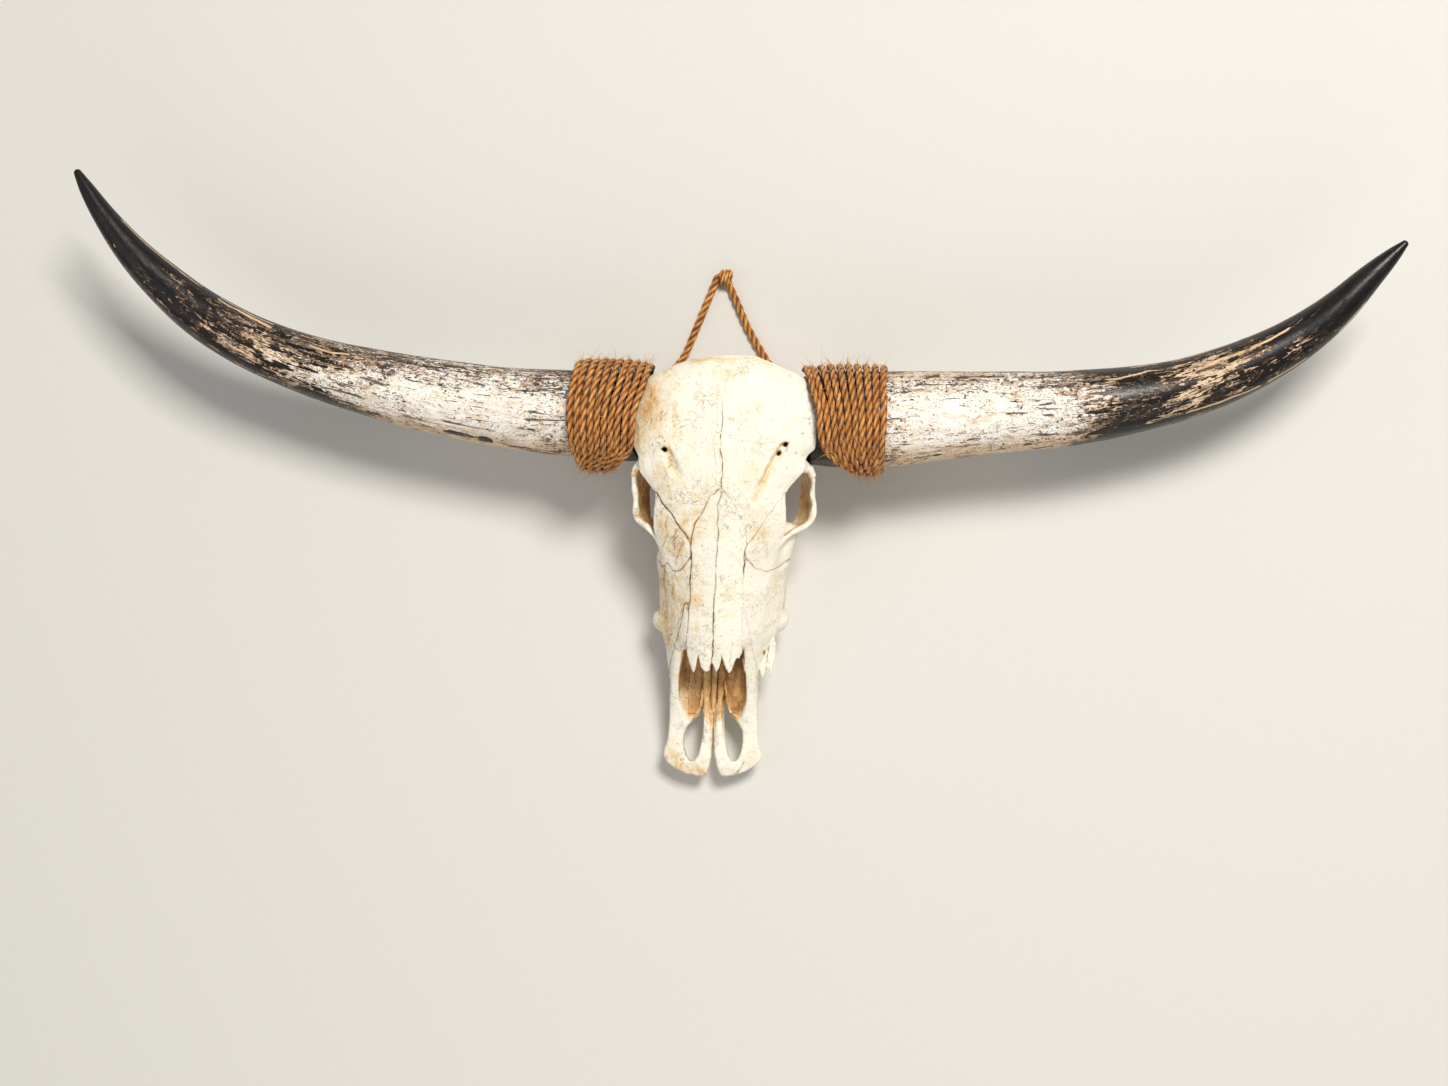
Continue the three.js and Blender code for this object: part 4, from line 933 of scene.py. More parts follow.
# Openings: at the back, through the brow, below the eye and in the cheek.
skull.carve(*bounds_of([(0, -14, 56)], 26), egg(0, -14, 56, 16, 26, 16), 3, sides=(1,))
for side, x0, y0, r in [(-1, 67.0, -112.3, 3.0), (1, 74.4, -106.9, 2.9), (1, 67.0, -117.5, 2.5)]:
    skull.carve((x0 - 5, y0 - 5, 155), (x0 + 5, y0 + 5, 200),
                rod((x0, y0, 200), (x0 - 2, y0 - 2, 162), r, r * 0.8), 1.2, sides=(side,))
for side, line, r, dip in [(1, [(71, -112), (64, -126), (58, -138), (50, -155), (41, -173)], 5, 1.9),
                           (-1, [(63, -119), (56, -132), (49, -144)], 7, 0.1)]:
    for p, q in zip(line[:-1], line[1:]):
        top = lambda c: float(TOP_Z(c[1])) - 0.0011 * abs(c[0])**2.2
        a, b = (p[0], p[1], top(p) + r - dip), (q[0], q[1], top(q) + r - dip)
        skull.carve(*bounds_of([a, b], r + 2), rod(a, b, r, r), 3.5, sides=(side,))
skull.carve(*bounds_of([(58, -352, 66), (50, -330, 60)], 5), rod((60, -354, 66), (50, -330, 60), 3.6, 3.0),
            1.5)
skull.carve(*bounds_of([(80, -214, 112)], 4), egg(80, -213, 112, 3, 5, 4), 1.5)

# ---------------------------------------------------------------- parted at its sutures
flat_points = np.column_stack([plan_xy, np.zeros(len(plan_xy))])
plan_points = plan_xy + noise_in_plan(flat_points, 11, 4, (1, 2)) * [2.0, 2.4]


def plan(outline):
    return prism(outline, plan_points, *bounds_of(outline, 12))


MIDLINE = [(3, -158), (3.5, -165), (-1, -180), (2, -208), (0.8, -230), (-0.3, -250), (-0.8, -290),
           (-0.5, -335), (-1.6, -362), (-1.6, -400)]
EDGE = {1: [(33, -400), (33.5, -352), (32.5, -290), (31.5, -238), (34, -223), (31, -205), (23, -187),
            (15.5, -172), (4, -158)],
        -1: [(-33, -400), (-32.5, -352), (-30.5, -290), (-29.5, -238), (-30, -216), (-26, -200), (-18, -184),
             (-10, -168), (2, -158)]}
nasal_plan = {s: plan(MIDLINE + EDGE[s]) for s in (1, -1)}
both_nasals = np.minimum(nasal_plan[1], nasal_plan[-1])
nasal_base = ((TOP_Z(np.maximum(Y, -340)) - np.clip(-340 - Y, 0, 60) * 0.42 - 12)[None, :, None]
              - (6 * np.clip(np.abs(X) / 34, 0, 1)**2)[:, None, None])
FRONT_R = [(34, -224), (39.6, -218), (53.8, -197), (64.6, -181), (74, -165), (79, -160), (200, -160)]
FRONT_L = [(-31, -222), (-34, -217), (-45, -201), (-58, -186), (-74, -163), (-79, -160), (-200, -160)]
cranium_plan = plan([(-200, 60), (200, 60)] + FRONT_R[::-1] + [(26, -232), (-26, -232)] + FRONT_L)
LACRIMAL = {1: FRONT_R + [(200, -240), (84, -238), (76, -244), (67, -252), (56, -256), (44, -251), (33, -238)],
            -1: FRONT_L + [(-200, -243), (-72, -241), (-69, -248), (-59, -244), (-54, -253), (-46, -255),
                           (-40, -251), (-31, -238)]}
lacrimal_plan = {s: plan(LACRIMAL[s]) for s in (1, -1)}
PREMAX_L = [(2.8, -430), (7.2, -419), (7.4, -374), (15.6, -374), (16, -428), (32, -428), (34.5, -400),
            (35, -372), (30.5, -350), (29, -318), (33, -291), (36.5, -291), (41, -318), (49, -346),
            (57, -372), (62, -396), (200, -410), (200, -560), (-0.5, -560), (1.5, -470)]
PREMAX_R = [(-2.8, -430), (1.4, -419), (2.0, -374), (9.4, -374), (9.6, -426), (32, -428), (34.5, -400),
            (35, -372), (30.5, -350), (29, -318), (33, -298), (35.5, -298), (39, -318), (43, -340),
            (48.5, -364), (52, -392), (200, -404), (200, -560), (0.5, -560), (-1.5, -470)]
premax_plan = {1: plan(PREMAX_R), -1: plan([(-x, y) for x, y in PREMAX_L])}

ring_field = np.full(skull.v.shape, FAR, np.float32)
for cut, d in orbits:
    ring_field[cut] = np.minimum(ring_field[cut], d)
high = np.float32(88) - z3 - 1.2 * np.sin(X[:, None, None] / 3.0)
side_x = X[:, None, None]
nasals = np.maximum(both_nasals, nasal_base - z3)               # where the nasal bones are
cheek_zone = {s: np.minimum(np.maximum(lacrimal_plan[s], high),
                            np.where(side_x * s > 0, ring_field - 1.5, FAR)) for s in (1, -1)}
cheeks = np.minimum(cheek_zone[1], cheek_zone[-1])
cheeks = np.maximum(cheeks, -np.minimum(cranium_plan, FAR) * (ring_field > 2.5) - FAR * (ring_field <= 2.5))
not_nasal, not_cheek = -nasals + GAP, -cheeks + GAP
not_cranium, not_premax = GAP - cranium_plan, GAP - np.minimum(premax_plan[1], premax_plan[-1])
rest_of = most(not_nasal, not_cheek, not_cranium, not_premax)
PIECES = {"cranium": most(cranium_plan + GAP, not_nasal, np.where(ring_field < 2.5, not_cheek, -FAR))}
for kind, zone in [("nasal", lambda s: np.maximum(nasal_plan[s] + GAP, nasal_base + GAP - z3)),
                   ("premaxilla", lambda s: np.maximum(premax_plan[s] + GAP, not_nasal)),
                   ("cheekbone", lambda s: most(cheek_zone[s] + GAP, not_nasal,
                                                np.where(ring_field > 2.5, not_cranium, -FAR))),
                   ("maxilla", lambda s: np.maximum(rest_of, GAP - s * side_x))]:
    for s, word in ((1, "right"), (-1, "left")):
        PIECES[f"{kind}_{word}"] = zone(s)


def net(field, lo, step):
    """A quad mesh of where a field on a grid is zero: one point for each cell that the surface crosses."""
    inside = field < 0
    count = np.zeros(np.array(field.shape) - 1, np.int8)
    corners = [(a, b, c) for a in (0, 1) for b in (0, 1) for c in (0, 1)]
    view = lambda v, c: v[tuple(slice(k, v.shape[i] - 1 + k) for i, k in enumerate(c))]
    for c in corners:
        count += view(inside, c)
    active = (count > 0) & (count < 8)
    index = np.full(active.shape, -1, np.int64)
    cells = np.argwhere(active)
    index[active] = np.arange(len(cells))
    value = {c: view(field, c)[active].astype(float) for c in corners}
    total, hits = np.zeros((len(cells), 3)), np.zeros(len(cells))
    for p in corners:
        for k in range(3):
            if p[k]:
                continue
            q = tuple(1 if i == k else v for i, v in enumerate(p))
            a, b = value[p], value[q]
            cross = (a < 0) != (b < 0)
            t = np.where(cross, a / np.where(cross, a - b, 1), 0)
            point = np.tile(np.array(p, float), (len(cells), 1))
            point[:, k] += t
            total += np.where(cross[:, None], point, 0)
            hits += cross
    points = (cells + total / hits[:, None]) * step + lo
    quads = []
    for k in range(3):
        i, j = (k + 1) % 3, (k + 2) % 3
        a = [slice(None)] * 3
        b = [slice(None)] * 3
        a[k], b[k] = slice(0, -1), slice(1, None)
        for m in (i, j):
            a[m] = b[m] = slice(1, -1)
        here, beyond = inside[tuple(a)], inside[tuple(b)]
        at = np.argwhere(here != beyond)
        falls = here[tuple(at.T)]
        at[:, i] += 1
        at[:, j] += 1
        di, dj = np.eye(3, dtype=int)[i], np.eye(3, dtype=int)[j]
        ring = [at - di - dj, at - dj, at, at - di]
        quad = np.stack([index[tuple(r.T)] for r in ring], -1)
        quad[~falls] = quad[~falls][:, ::-1]
        quads.append(quad)
    return points, np.concatenate(quads)


def soften(points, faces, amount=0.5, rounds=1):
    """Evens the points out along their edges, without shrinking the shape."""
    e = np.concatenate([faces[:, [0, 1]], faces[:, [1, 2]], faces[:, [2, 3]], faces[:, [3, 0]]])
    deg = np.bincount(e.ravel(), minlength=len(points))[:, None]
    for r in range(2 * rounds):
        s = np.zeros_like(points)
        for k in range(3):
            s[:, k] = (np.bincount(e[:, 0], points[e[:, 1], k], len(points))
                       + np.bincount(e[:, 1], points[e[:, 0], k], len(points)))
        points = points + (amount if r % 2 == 0 else -amount * 1.04) * (s / np.maximum(deg, 1) - points)
    return points


def normals_of(points, faces):
    p = points[faces]
    n = np.cross(p[:, 2] - p[:, 0], p[:, 3] - p[:, 1])
    out = np.zeros_like(points)
    for k in range(4):
        for c in range(3):
            out[:, c] += np.bincount(faces[:, k], n[:, c], len(points))
    return out / np.maximum(np.linalg.norm(out, axis=1), 1e-9)[:, None]


def drop_crumbs(points, faces, least=400):
    """Keeps only pieces of at least so many points."""
    label = np.arange(len(points))
    e = np.concatenate([faces[:, [0, 1]], faces[:, [1, 2]], faces[:, [2, 3]], faces[:, [3, 0]]])
    while True:
        old = label.copy()
        np.minimum.at(label, e[:, 0], label[e[:, 1]])
        np.minimum.at(label, e[:, 1], label[e[:, 0]])
        label = label[label]
        if np.array_equal(old, label):
            break
    size = np.bincount(label, minlength=len(points))
    keep = size[label] >= least
    new = np.cumsum(keep) - 1
    faces = faces[keep[faces[:, 0]]]
    return points[keep], new[faces]


def blurred(field, radius):
    """A box blur of a field, to compare a point with its surroundings."""
    n = max(1, int(round(radius / STEP)))
    out = field.astype(np.float32)
    for axis in range(3):
        pad = [(0, 0)] * 3
        pad[axis] = (n + 1, n)
        c = np.cumsum(np.pad(out, pad, mode="edge"), axis=axis, dtype=np.float64)
        hi = [slice(None)] * 3
        lo = [slice(None)] * 3
        hi[axis], lo[axis] = slice(2 * n + 1, None), slice(0, -2 * n - 1)
        out = ((c[tuple(hi)] - c[tuple(lo)]) / (2 * n + 1)).astype(np.float32)
    return out


clipped = np.clip(skull.v, -14, 14)
wide, small = blurred(clipped, 12), blurred(clipped, 4.5)


def to_line(points, line):
    """Distance in plan from points to an open line."""
    p, best = np.array(line, float), np.full(len(points), 1e3)
    for a, b in zip(p[:-1], p[1:]):
        e = b - a
        t = np.clip(((points - a) @ e) / (e @ e), 0, 1)
        best = np.minimum(best, np.linalg.norm(points - a - t[:, None] * e, axis=1))
    return best


def spot(p, x, y, z, r, amount):
    return amount * np.exp(-((p - np.array([x, y, z])) ** 2 / (np.array(r, float) ** 2)).sum(1))


FRONTAL = [(-4.5, -25), (-1.6, -58), (0, -81), (-0.6, -109), (2.8, -132), (3.5, -160)]


def lean(p):
    q = p.copy()
    q[:, 0] = p[:, 0] + LEAN * (p[:, 1] - LEAN_AT)
    q[:, 1] = p[:, 1] + LEAN * p[:, 0]
    return q


def grid_at(values, points):
    """Values on the skull's grid, at points."""
    return between(values, skull.lo, STEP, points)


STAINS = [(-98, -66, 158, (26, 48, 40), 0.22), (-84, -38, 156, (34, 22, 40), 0.18),
          (-84, -58, 168, (7, 30, 40), 0.10), (-101, -104, 156, (10, 14, 30), 0.20),
          (0, -14, 170, (60, 11, 30), 0.18), (4, -34, 184, (7, 10, 20), 0.14),
          (14, -27, 182, (9, 5, 20), 0.14), (-52, -20, 165, (34, 12, 30), 0.12),
          (-72, -108, 178, (16, 18, 30), 0.16), (-66, -260, 90, (26, 76, 50), 0.16),
          (-60, -310, 75, (26, 40, 40), 0.16), (-45, -212, 148, (16, 26, 30), 0.18),
          (-21, -186, 160, (9, 22, 30), 0.20), (-29, -216, 155, (8, 18, 30), 0.20),
          (-12, -345, 125, (14, 24, 30), 0.12), (-24, -300, 130, (10, 50, 30), 0.10),
          (52, -215, 130, (16, 26, 30), 0.10), (98, -128, 150, (14, 14, 20), 0.16)]
mid_x = through([(y, x) for x, y in reversed(FRONTAL)])
HAIRLINES = [([(-1, -20), (3, -30), (1, -40), (2, -52)], 0.35), ([(3, -33), (12, -28), (19, -24)], 0.22),
             ([(16, -507), (28, -502), (34, -496), (39, -486)], 0.7),
             ([(-49, -255), (-53, -262), (-51, -272), (-55, -284)], 0.45),
             ([(-62, -244), (-66, -262), (-63, -283), (-68, -300)], 0.5),
             ([(-40, -300), (-45, -318), (-44, -334), (-50, -352)], 0.4),
             ([(-58, -188), (-62, -200), (-60, -214), (-66, -226)], 0.5),
             ([(-48, -205), (-52, -216), (-50, -230)], 0.45), ([(-40, -219), (-45, -232), (-49, -247)], 0.5),
             ([(52, -212), (58, -226), (57, -240)], 0.25), ([(-12, -372), (-10, -352), (-12, -331)], 0.3),
             ([(22, -373), (21, -356), (23, -338)], 0.3), ([(62, -340), (60, -356), (61, -372)], 0.55)]


def suture_strength(x, y):
    """How plainly a suture shows: faint on the right, open slits beside and between the nasals."""
    s = np.where(x < 0, 0.50, 0.14)
    s = np.where((x < -34) & (y > -236) & (y < -158), 0.80, s)
    s = np.where((np.abs(x) < 9) & (y < -162), 0.42 + 0.50 * np.clip((-275 - y) / 30, 0, 1) * (y > -400), s)
    s = np.where((x > 33) & (y < -236) & (y > -262), 0.22, s)
    s = (s + 0.9 * np.exp(-((x + 29.5) / 6) ** 2 - ((y + 250) / 15) ** 2)
         + 0.8 * np.exp(-((x - 32) / 6) ** 2 - ((y + 247) / 12) ** 2))
    return s


def bone(name, zone):
    points, faces = net(np.maximum(skull.v, zone), skull.lo, STEP)
    points, faces = drop_crumbs(points, faces, 900)
    points = soften(points, faces, 0.45, 1)
    n = normals_of(points, faces)
    corner = np.flatnonzero((np.abs(skull.at(points)) < STEP) & (np.abs(grid_at(zone, points)) < STEP))
    c = points[corner]
    # Brings the edges of a cut out to where its two faces meet.
    for _ in range(3):
        for values in (skull.v, zone):
            here = grid_at(values, c)
            slope = (np.stack([grid_at(values, c + d) - grid_at(values, c - d) for d in np.eye(3) * 0.8], -1)
                     / 1.6)
            c = c - slope * (here / np.maximum((slope**2).sum(1), 0.3))[:, None]
    points[corner] += np.clip(c - points[corner], -1.1, 1.1)
    x, y, z = points.T
    side = np.sign(x)
    on_top = np.clip((n[:, 2] - 0.1) / 0.3, 0, 1)
    ring = grid_at(ring_field, points)
    in_nose = np.clip((2.2 - nose(x, y, z)) / 2.0, 0, 1) * np.clip((TOP_Z(y) - 4.0 - z) / 4.5, 0, 1)
    # Sutures, cracks and the midline of the frontals.
    jagged = points[:, :2] + noise_in_plan(points, 7, 3, (6, 7)) * 2.2
    edge = np.clip(-grid_at(zone, points), 0, 6)
    power = suture_strength(x, y) * (1 - in_nose) * np.clip((ring - 2) / 3, 0, 1) * (0.35 + 0.65 * on_top)
    mid = np.where((y < -40) & (y > -159) & (name == "cranium"), jagged[:, 0] - mid_x(jagged[:, 1]), 99)
    mid_power = 0.75 * np.clip((-48 - y) / 45, 0, 1) * on_top
    power = np.where(np.abs(mid) < edge, mid_power, power)
    seam = np.where(np.abs(mid) < edge, np.clip(mid, -6, 6), edge)
    for line, strength in HAIRLINES:
        d = to_line(jagged, line)
        closer = (d < np.abs(seam)) & (on_top > 0.3) & (in_nose < 0.3)
        seam, power = np.where(closer, d, seam), np.where(closer, strength, power)
    # Relief.
    broad = noise(points, 26, 2, seed=1) * 0.6
    fine = noise(points, 5.5, 3, seed=2) * 0.24
    pores = (np.clip(noise(points, 2.2, 1, seed=3) - 0.45, 0, 1)
             * np.clip(noise(points, 18, 2, seed=4) + 0.25, 0, 1) * 1.3)
    amount = np.where(z < 0.8, 0, broad + fine - pores)
    surface = np.abs(skull.at(points)) < 1.0                    # the cut faces between bones stay as they are
    points = points + n * ((amount - 0.3 * power * bell(seam, 1.0)) * surface)[:, None]
    # Painted shade in the hollows and holes, stains mixed with some painted shade, and wear.
    # Painted shade: darker in the hollows, lighter on thin edges and crests.
    hollow_shade = (np.clip(-grid_at(wide, points) / 8, -0.10, 0.42)
              + np.clip(-grid_at(small, points) / 3.0, -0.06, 0.20))
    hollow_shade = np.where((y > -195) & (n[:, 2] > 0.75), hollow_shade * 0.35, hollow_shade)
    # Stains, and warmer towards the left of the forehead, part stain and part painted shade on the side turned
    # from the light.
    stain_and_shade = (to_groove(points) + sum(spot(points, *s) for s in STAINS)
             + 0.07 * np.clip(-x / 60, 0, 1) * (y > -170))
    # Painted shade over the left maxilla, the side turned from the light.
    low_left = np.clip((-26 - x) / 14, 0, 1) * np.clip((-225 - y) / 20, 0, 1)
    stain_and_shade += 0.13 * low_left * np.clip((y + 430) / 40, 0, 1)
    stain_and_shade = stain_and_shade * (1 + 0.55 * noise(points, (14, 34, 20), 3, seed=15))
    stain_and_shade += ((0.10 + 0.14 * (x < 0)) * np.clip((-420 - y) / 70, 0, 1)
              + (0.12 + 0.12 * (x < 0)) * np.clip((-478 - y) / 18, 0, 1))
    # The nose's floor is orange-tan, with painted shade on its right side and a painted shadow under the nasal
    # tips, lighter higher up its walls and darker along the midline.
    stain_and_shade = (stain_and_shade * (1 - in_nose) + in_nose * (0.55 + 0.09 * (x > 0) + 0.16 * np.clip((y + 405) / 50, 0, 1)
                                                + 0.07 * noise(points, 9, 3, seed=16)
                                                - 0.08 * np.clip((z - 62) / 30, 0, 1)))
    stain_and_shade += in_nose * 0.12 * (np.abs(x) < 12) * np.clip((y + 430) / 50, 0, 1)
    hollow_shade = np.where(in_nose > 0.2, hollow_shade * 0.35, hollow_shade)
    rim = np.minimum(to_curve(points, spline(RIMS[1], 34)),
                     to_curve(points * [-1, 1, 1], spline(RIMS[-1], 34)))
    socket = (np.clip((3.0 - ring) / 1.5, 0, 1) * np.clip(0.35 - n[:, 0] * side, 0, 0.3) / 0.3
              * np.clip((rim - 3.4) / 2.0, 0, 1))
    deep = ((np.abs(x) > 44) & (y < -130) & (y > -214) & (z < 134) & (n[:, 2] < 0.5)
            & (n[:, 0] * side > -0.4) & (ring > 2.5))
    stain_and_shade += (socket * (0.58 + 0.12 * noise(points, 8, 3, seed=8) - 0.16 * np.clip((-184 - y) / 14, 0, 1))
              + deep * 0.45)
    hollow_shade = np.where(socket > 0.1, np.maximum(hollow_shade, 0), hollow_shade)
    # Painted shade on the low faces that turn down towards the floor.
    stain_and_shade += 0.28 * np.clip((60 - z) / 60, 0, 1) * np.clip(-n[:, 2], 0, 1)
    tooth = (z < 26) & (y < -205) & (y > -345) & (np.abs(x) > 30)
    stain_and_shade += np.where(tooth, 0.12 + 0.25 * (noise(points, (3, 3, 9), 2, seed=9) > 0.15), 0)
    worn = (0.42 - x / 300 + 0.16 * np.clip((-165 - y) / 30, 0, 1) - 0.10 * np.clip((-350 - y) / 30, 0, 1)
            + 0.32 * noise(points, 30, 2, seed=17))
    worn += (spot(points, -52, -225, 130, (22, 40, 40), 0.45)
             + spot(points, -66, -290, 90, (22, 50, 40), 0.30) + 0.4 * socket)
    # Painted shade: near black down inside the holes through the brow, in small pores, and in the opening at
    # the back.
    dark = np.zeros(len(points))
    for hx, hy, r in [(-67.0, -112.3, 2.6), (74.4, -106.9, 2.6), (67.0, -117.5, 2.2)]:
        reach = np.hypot(x - hx, y - hy)
        dark = np.maximum(dark, np.clip((r + 0.6 - reach) / 1.0, 0, 1) * (z < TOP_Z(y) - 9))
        stain_and_shade += 0.35 * np.exp(-(np.clip(reach - r, 0, 50) / 1.8) ** 2)
    for hx, hy in [(-76.2, -100.9), (-72, -99.2), (-68.2, -99.8), (-65.7, -104.4), (-80, -108), (86, -118),
                   (20, -172), (92, -96), (99, -84), (98, -79)]:
        dark = np.maximum(dark, 0.8 * np.exp(-((x - hx) ** 2 + (y - hy) ** 2) / 0.95 ** 2) * on_top)
    dark = np.maximum(dark, np.clip((14 - np.abs(x)) / 4, 0, 1) * np.clip((y + 34) / 8, 0, 1)
                      * np.clip(1 - np.hypot(x, z - 56) / 15, 0, 1))
    return make("bone_" + name, lean(points), faces, BONE,
                {"hollow_shade": hollow_shade, "stain_and_shade": stain_and_shade, "line": np.clip(power, 0, 1), "seam": seam,
                 "worn": np.clip(worn, 0, 1), "dark": np.clip(dark, 0, 1)}, creased=True)


def to_curve(points, line):
    """Distance from points to the nearest point of a finely cut line."""
    best = np.full(len(points), 1e3)
    near_it = np.all((points > line.min(0) - 12) & (points < line.max(0) + 12), axis=1)
    p = points[near_it]
    d = np.full(len(p), 1e3)
    for a in line:
        d = np.minimum(d, np.linalg.norm(p - a, axis=1))
    best[near_it] = d
    return best


def to_groove(points):
    """The brown line along the bottom of each supraorbital groove."""
    wavy = points[:, :2] + noise_in_plan(points, 9, 3, (23, 24)) * 1.6
    right_one = to_line(wavy, [(65, -120), (58, -137), (50, -153), (41, -172), (37, -188)])
    left_one = to_line(wavy, [(-62, -113), (-58, -122), (-52, -134), (-46, -147)])
    patchy = np.clip(noise(points, 13, 2, seed=25) + 0.35, 0, 1)
    along = np.clip((points[:, 1] + 196) / 40, 0, 1) * (0.55 + 0.6 * patchy)
    return (along * (0.26 * bell(right_one, 1.3) + 0.12 * bell(right_one, 4.2))
            + 0.07 * bell(left_one, 2.2) * np.clip(noise(points, 9, 2, seed=26) + 0.5, 0, 1))


for name, zone in PIECES.items():
    piece = bone(name, zone.astype(np.float32))
    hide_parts(name)


# ---------------------------------------------------------------- horns
def unlean(p):
    q = p.copy()
    a = p[:, 0] + LEAN * LEAN_AT
    q[:, 0] = (a - LEAN * p[:, 1]) / (1 - LEAN**2)
    q[:, 1] = (p[:, 1] - LEAN * a) / (1 - LEAN**2)
    return q


def in_skull(p):
    """Below zero where the skull is, or where its brow lies over the horn."""
    q = unlean(p)
    d = skull.at(q)
    cover = np.maximum(np.abs(q[:, 0]) - CREST_X(q[:, 1]) * 0.945 - 2, 128 - q[:, 2])
    return np.minimum(d, np.where((q[:, 1] > -150) & (q[:, 1] < -12), cover, 60)) - 0.6


def horn(side):
    s = -1 if side == "left" else 1
    rows, cols = ((520, 150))
    axis = spline(HORN_KNOTS[side], rows)
    centre, radius = axis[:, :3], axis[:, 3]
    t, u, w = frames(centre, np.array([0.0, 0.0, 1.0]))
    a = np.arange(cols) * 2 * np.pi / cols
    along = lengths_along(centre)
    q = along / along[-1]
    ring = u[:, None, :] * np.cos(a)[None, :, None] + w[:, None, :] * np.sin(a)[None, :, None]
    base = centre[:, None, :] + ring * radius[:, None, None]
    flat = base.reshape(-1, 3)
    grain = np.stack([np.repeat(along, cols), (radius[:, None] * np.cos(a)).ravel(),
                      (radius[:, None] * np.sin(a)).ravel()], -1)
    grain[:, 0] += 900 if s > 0 else 0
    qq = np.repeat(q, cols)
    rough = np.clip(1 - qq / 0.8, 0.05, 1)
    lengthwise = noise(grain * [0.25, 1, 1], 6, 3, seed=11)
    flakes = np.clip(noise(grain * [0.35, 1, 1], 9, 3, seed=12) * 3, -0.5, 0.5)
    rings = np.sin(grain[:, 0] / 5.5 + 1.5 * noise(grain, 40, 2, seed=13)) * np.exp(-qq * 9)
    lump = noise(grain * [0.5, 1, 1], 34, 2, seed=14)
    r_add = (0.35 * lengthwise + 0.45 * flakes) * rough + 0.25 * rings + 0.5 * lump * np.clip(1 - qq, 0.15, 1)
    pts = (flat + ring.reshape(-1, 3) * (r_add - 0.3)[:, None]).reshape(rows, cols, 3)
    inside = in_skull(pts.reshape(-1, 3)).reshape(rows, cols)
    # The last row that is still in the skull.
    first = rows - 1 - np.argmax((inside < 0)[::-1], axis=0)
    first = np.where((inside < 0).any(0), first, 0)
    j = np.arange(cols)
    f0, f1 = inside[first, j], inside[np.minimum(first + 1, rows - 1), j]
    start = first + np.clip(f0 / np.where(f0 - f1 == 0, 1, f0 - f1), 0, 1)
    start = (np.roll(start, 1) + 2 * start + np.roll(start, -1)) / 4
    u_new = start[None, :] + (rows - 1 - start[None, :]) * np.linspace(0, 1, rows)[:, None]
    k = np.clip(u_new.astype(int), 0, rows - 2)
    f = (u_new - k)[..., None]
    pts = pts[k, j] * (1 - f) + pts[k + 1, j] * f
    grid = grain.reshape(rows, cols, 3)
    grain = grid[k, j] * (1 - f) + grid[k + 1, j] * f
    qv = q[k] * (1 - f[..., 0]) + q[k + 1] * f[..., 0]
    inner = pts[0] * 0.35 + pts[0].mean(0) * 0.65                        # closes the base against the core
    tip_c, tip_t, tip_r = centre[-1], t[-1], radius[-1]
    caps = [tip_c + (pts[-1] - tip_c) * c + tip_t * tip_r * h
            for c, h in ((0.93, 0.30), (0.74, 0.58), (0.42, 0.78), (0.08, 0.86))]
    pts = np.concatenate([inner[None], pts, np.stack(caps)])
    grain = np.concatenate([grain[:1], grain, np.repeat(grain[-1:], 4, 0)])
    qv = np.concatenate([qv[:1], qv, np.repeat(qv[-1:], 4, 0)])
    n = len(pts)
    faces = grid_faces(n, cols)
    ends = []
    for row, flip in ((0, True), (n - 1, False)):
        i = row * cols + np.arange(0, cols // 2 - 1)
        o = row * cols + cols - 1 - np.arange(0, cols // 2 - 1)
        quad = np.stack([i, i + 1, o - 1, o], -1)
        ends.append(quad[:, ::-1] if flip else quad)
    faces = np.concatenate([faces] + ends)
    # The black skin holds at the tip and breaks up towards the base. The upper edge keeps more of it than the
    # face does.
    ring_dir = pts - pts.mean(1, keepdims=True)
    reach = np.linalg.norm(ring_dir, axis=2)
    girth = np.maximum(reach, 3)
    ring_dir /= np.maximum(reach, 1e-6)[..., None]
    north, face = ring_dir[..., 1], ring_dir[..., 2]
    turned = np.arctan2(north, face)
    left = s < 0
    bare_line = through([(0, 0.95), (0.30, 1.05), (0.38, 0.98), (0.44, 0.70), (0.51, 0.46), (0.58, 0.34),
                         (0.68, 0.24), (0.80, 0.05), (1.0, -0.5)] if left
                        else [(0, 0.95), (0.26, 1.10), (0.36, 0.98), (0.41, 0.78), (0.46, 0.40), (0.52, 0.20),
                              (0.62, 0.20), (0.74, 0.12), (1.0, -0.35)])
    bare = (bare_line(qv) + 0.12 * np.clip(face, 0, 1) - 0.22 * rise(north, 0.45, 1.0)
            - 0.62 * rise(north, 0.90, 0.99) - 0.35 * rise(-face, 0.0, 0.8))
    bare = (bare - 0.40 * rise(-north, 0.45, 0.9) * rise(qv, 0.36, 0.42) * rise(-qv, -0.62, -0.50)
            + 0.25 * rise(-north, 0.80, 0.98) * rise(qv, 0.30, 0.5))
    if not left:
        bare = (bare + 0.22 * bell(np.degrees(turned) - 32, 22) * rise(qv, 0.50, 0.60)
                * rise(-qv, -0.86, -0.74))
    wrapped = 0.115 if left else 0.105
    speck = (0.10 + (0.75 if left else 0.55) * rise(north, 0.10, 0.75)
             + 0.45 * bell(qv - wrapped, 0.05) + 0.25 * rise(-north, 0.3, 0.8)
             + 0.3 * rise(qv, 0.30, 0.42))
    straw = (0.9 * rise(-north, 0.42, 0.95) + 0.25 * bell(qv - wrapped, 0.04)
             + 0.75 * rise(qv, 0.50 if left else 0.42, 0.62 if left else 0.56))
    straw = straw + (0.25 if left else 0.55) * rise(north, 0.35, 0.85) * rise(-qv, -0.42, -0.30)
    # Painted shade: the sheath is black under the wraps' first turns, where the gap beside the skull lies in
    # shade.
    bare = np.where(qv < (0.075 if left else 0.065), -0.3, bare)
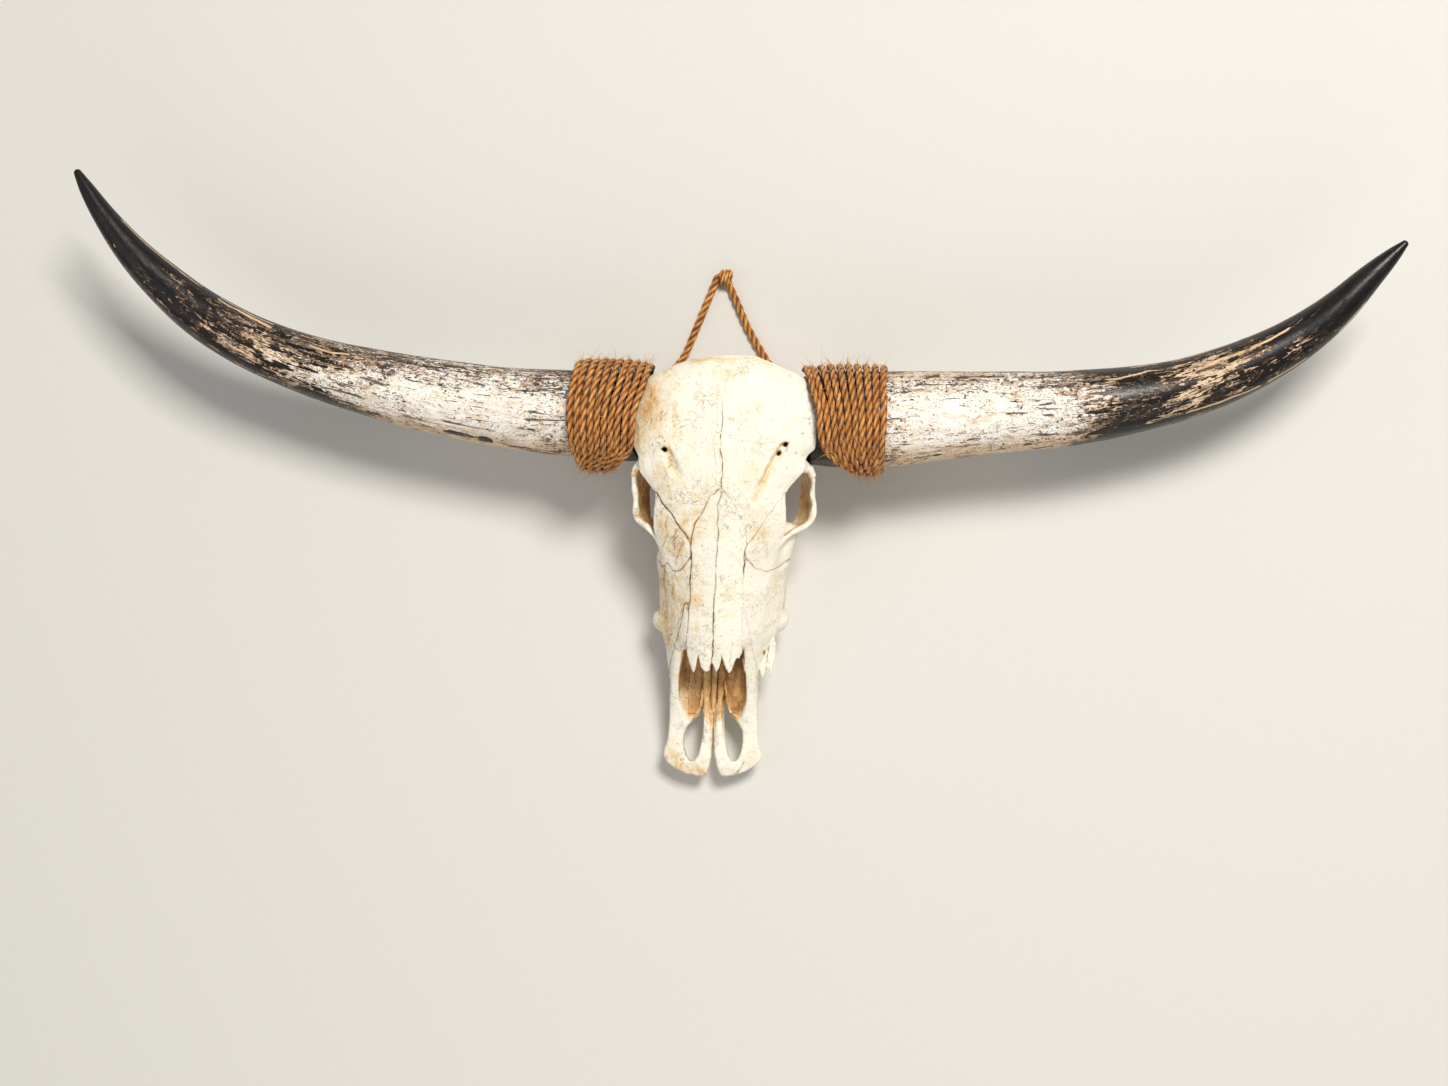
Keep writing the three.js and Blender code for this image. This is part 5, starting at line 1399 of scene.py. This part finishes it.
    # Chips of black skin left on the lower edge, and pale threads of a split along the upper one.
    flat = pts.reshape(-1, 3)
    mark = np.zeros(len(flat))
    chips = ([(-310, -60, 26, 5.2, -0.05), (-280, -61, 13, 7.0, 0.10)] if left
             else [(250, -62, 8, 2.6, 0.0), (352, -60, 9, 2.6, 0.15)])
    ragged = 0.34 * noise(flat * [0.4, 1, 1], 7, 3, seed=18)
    for cx, at, length, width, turn in chips:
        u0, v0 = flat[:, 0] - cx, ((turned - math.radians(at)) * girth).ravel()
        along_it = u0 * math.cos(turn) + v0 * math.sin(turn)
        across = v0 * math.cos(turn) - u0 * math.sin(turn)
        how_far = np.hypot(along_it / length, across / width) + ragged
        mark = np.maximum(mark, np.clip(1.6 - how_far * 1.6, 0, 1))
    wander = noise(np.stack([qv.ravel() * 60, 0 * qv.ravel(), 0 * qv.ravel()], -1), 1.6, 3, seed=21)
    phi = np.degrees(turned) + 5 * wander.reshape(qv.shape)
    lines = ([([(0.55, 44), (0.66, 54), (0.76, 66), (0.86, 68), (0.975, 52)], 0.55, 0.985),
              ([(0.48, 72), (0.62, 66), (0.74, 82), (0.80, 84)], 0.48, 0.80),
              ([(0.40, 40), (0.52, 36), (0.62, 54), (0.70, 64)], 0.42, 0.70)] if left
             else [([(0.50, 66), (0.64, 74), (0.78, 80), (0.9, 76)], 0.50, 0.90),
                   ([(0.58, 16), (0.68, 28), (0.78, 30), (0.88, 40)], 0.60, 0.87),
                   ([(0.55, -46), (0.70, -58), (0.82, -62), (0.94, -50)], 0.55, 0.94),
                   ([(0.44, 30), (0.55, 44), (0.66, 48)], 0.44, 0.66)])
    thread = np.zeros(qv.shape)
    for knots, q0, q1 in lines:
        off = np.radians(phi - through(knots)(qv)) * girth
        at = np.stack([grain[..., 0].ravel(), 0 * qv.ravel() + 40 * q0, 0 * qv.ravel()], -1)
        held = np.clip(3 * noise(at, 26, 3, seed=22) + 0.9, 0.25, 1).reshape(qv.shape)
        fade = rise(qv, q0, q0 + 0.04) * rise(-qv, -q1, -q1 + 0.06)
        wide_line = (1.1 + 0.6 * qv) * (0.5 + 0.5 * held)
        thread = np.maximum(thread, bell(off, wide_line) * held * fade)
    return make("horn_sheath_" + side, flat, faces, HORN,
                {"grain": grain.reshape(-1, 3), "bare": bare.ravel(), "speck": speck.ravel(),
                 "straw": straw.ravel(), "mark": mark, "thread": thread.ravel()})


for side in ("left", "right"):
    sheath = horn(side)
    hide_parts("horn_" + side)

# ---------------------------------------------------------------- floor, light
floor_mesh = bpy.data.meshes.new("floor")
floor_mesh.from_pydata([(-8, -8, 0), (8, -8, 0), (8, 8, 0), (-8, 8, 0)], [], [(0, 1, 2, 3)])
floor = bpy.data.objects.new("floor", floor_mesh)
floor.location.z = -0.0004
floor_mesh.materials.append(floor_material())
bpy.context.scene.collection.objects.link(floor)


def area_light(name, at, aim, size, power, colour=(1, 1, 1)):
    light = bpy.data.objects.new(name, bpy.data.lights.new(name, "AREA"))
    light.data.size, light.data.energy, light.data.color = size, power, colour
    light.location = at
    light.rotation_euler = (Vector(aim) - Vector(at)).to_track_quat("-Z", "Y").to_euler()
    bpy.context.scene.collection.objects.link(light)


area_light("key", (1.45, 2.1, 4.35), (0, 0, 0.1), 1.3, 250, (1.0, 0.965, 0.90))
area_light("fill", (-2.4, -0.4, 2.4), (0, 0, 0.1), 2.5, 12, (0.96, 0.97, 1.0))
area_light("front", (0.5, -2.6, 2.2), (0, 0, 0.1), 2.2, 30, (1.0, 0.98, 0.95))
world = bpy.data.worlds.new("studio")
world.use_nodes = True
world.node_tree.nodes["Background"].inputs[0].default_value = (1.0, 0.98, 0.94, 1)
world.node_tree.nodes["Background"].inputs[1].default_value = 0.25
bpy.context.scene.world = world
bpy.context.scene.view_settings.view_transform = "Standard"
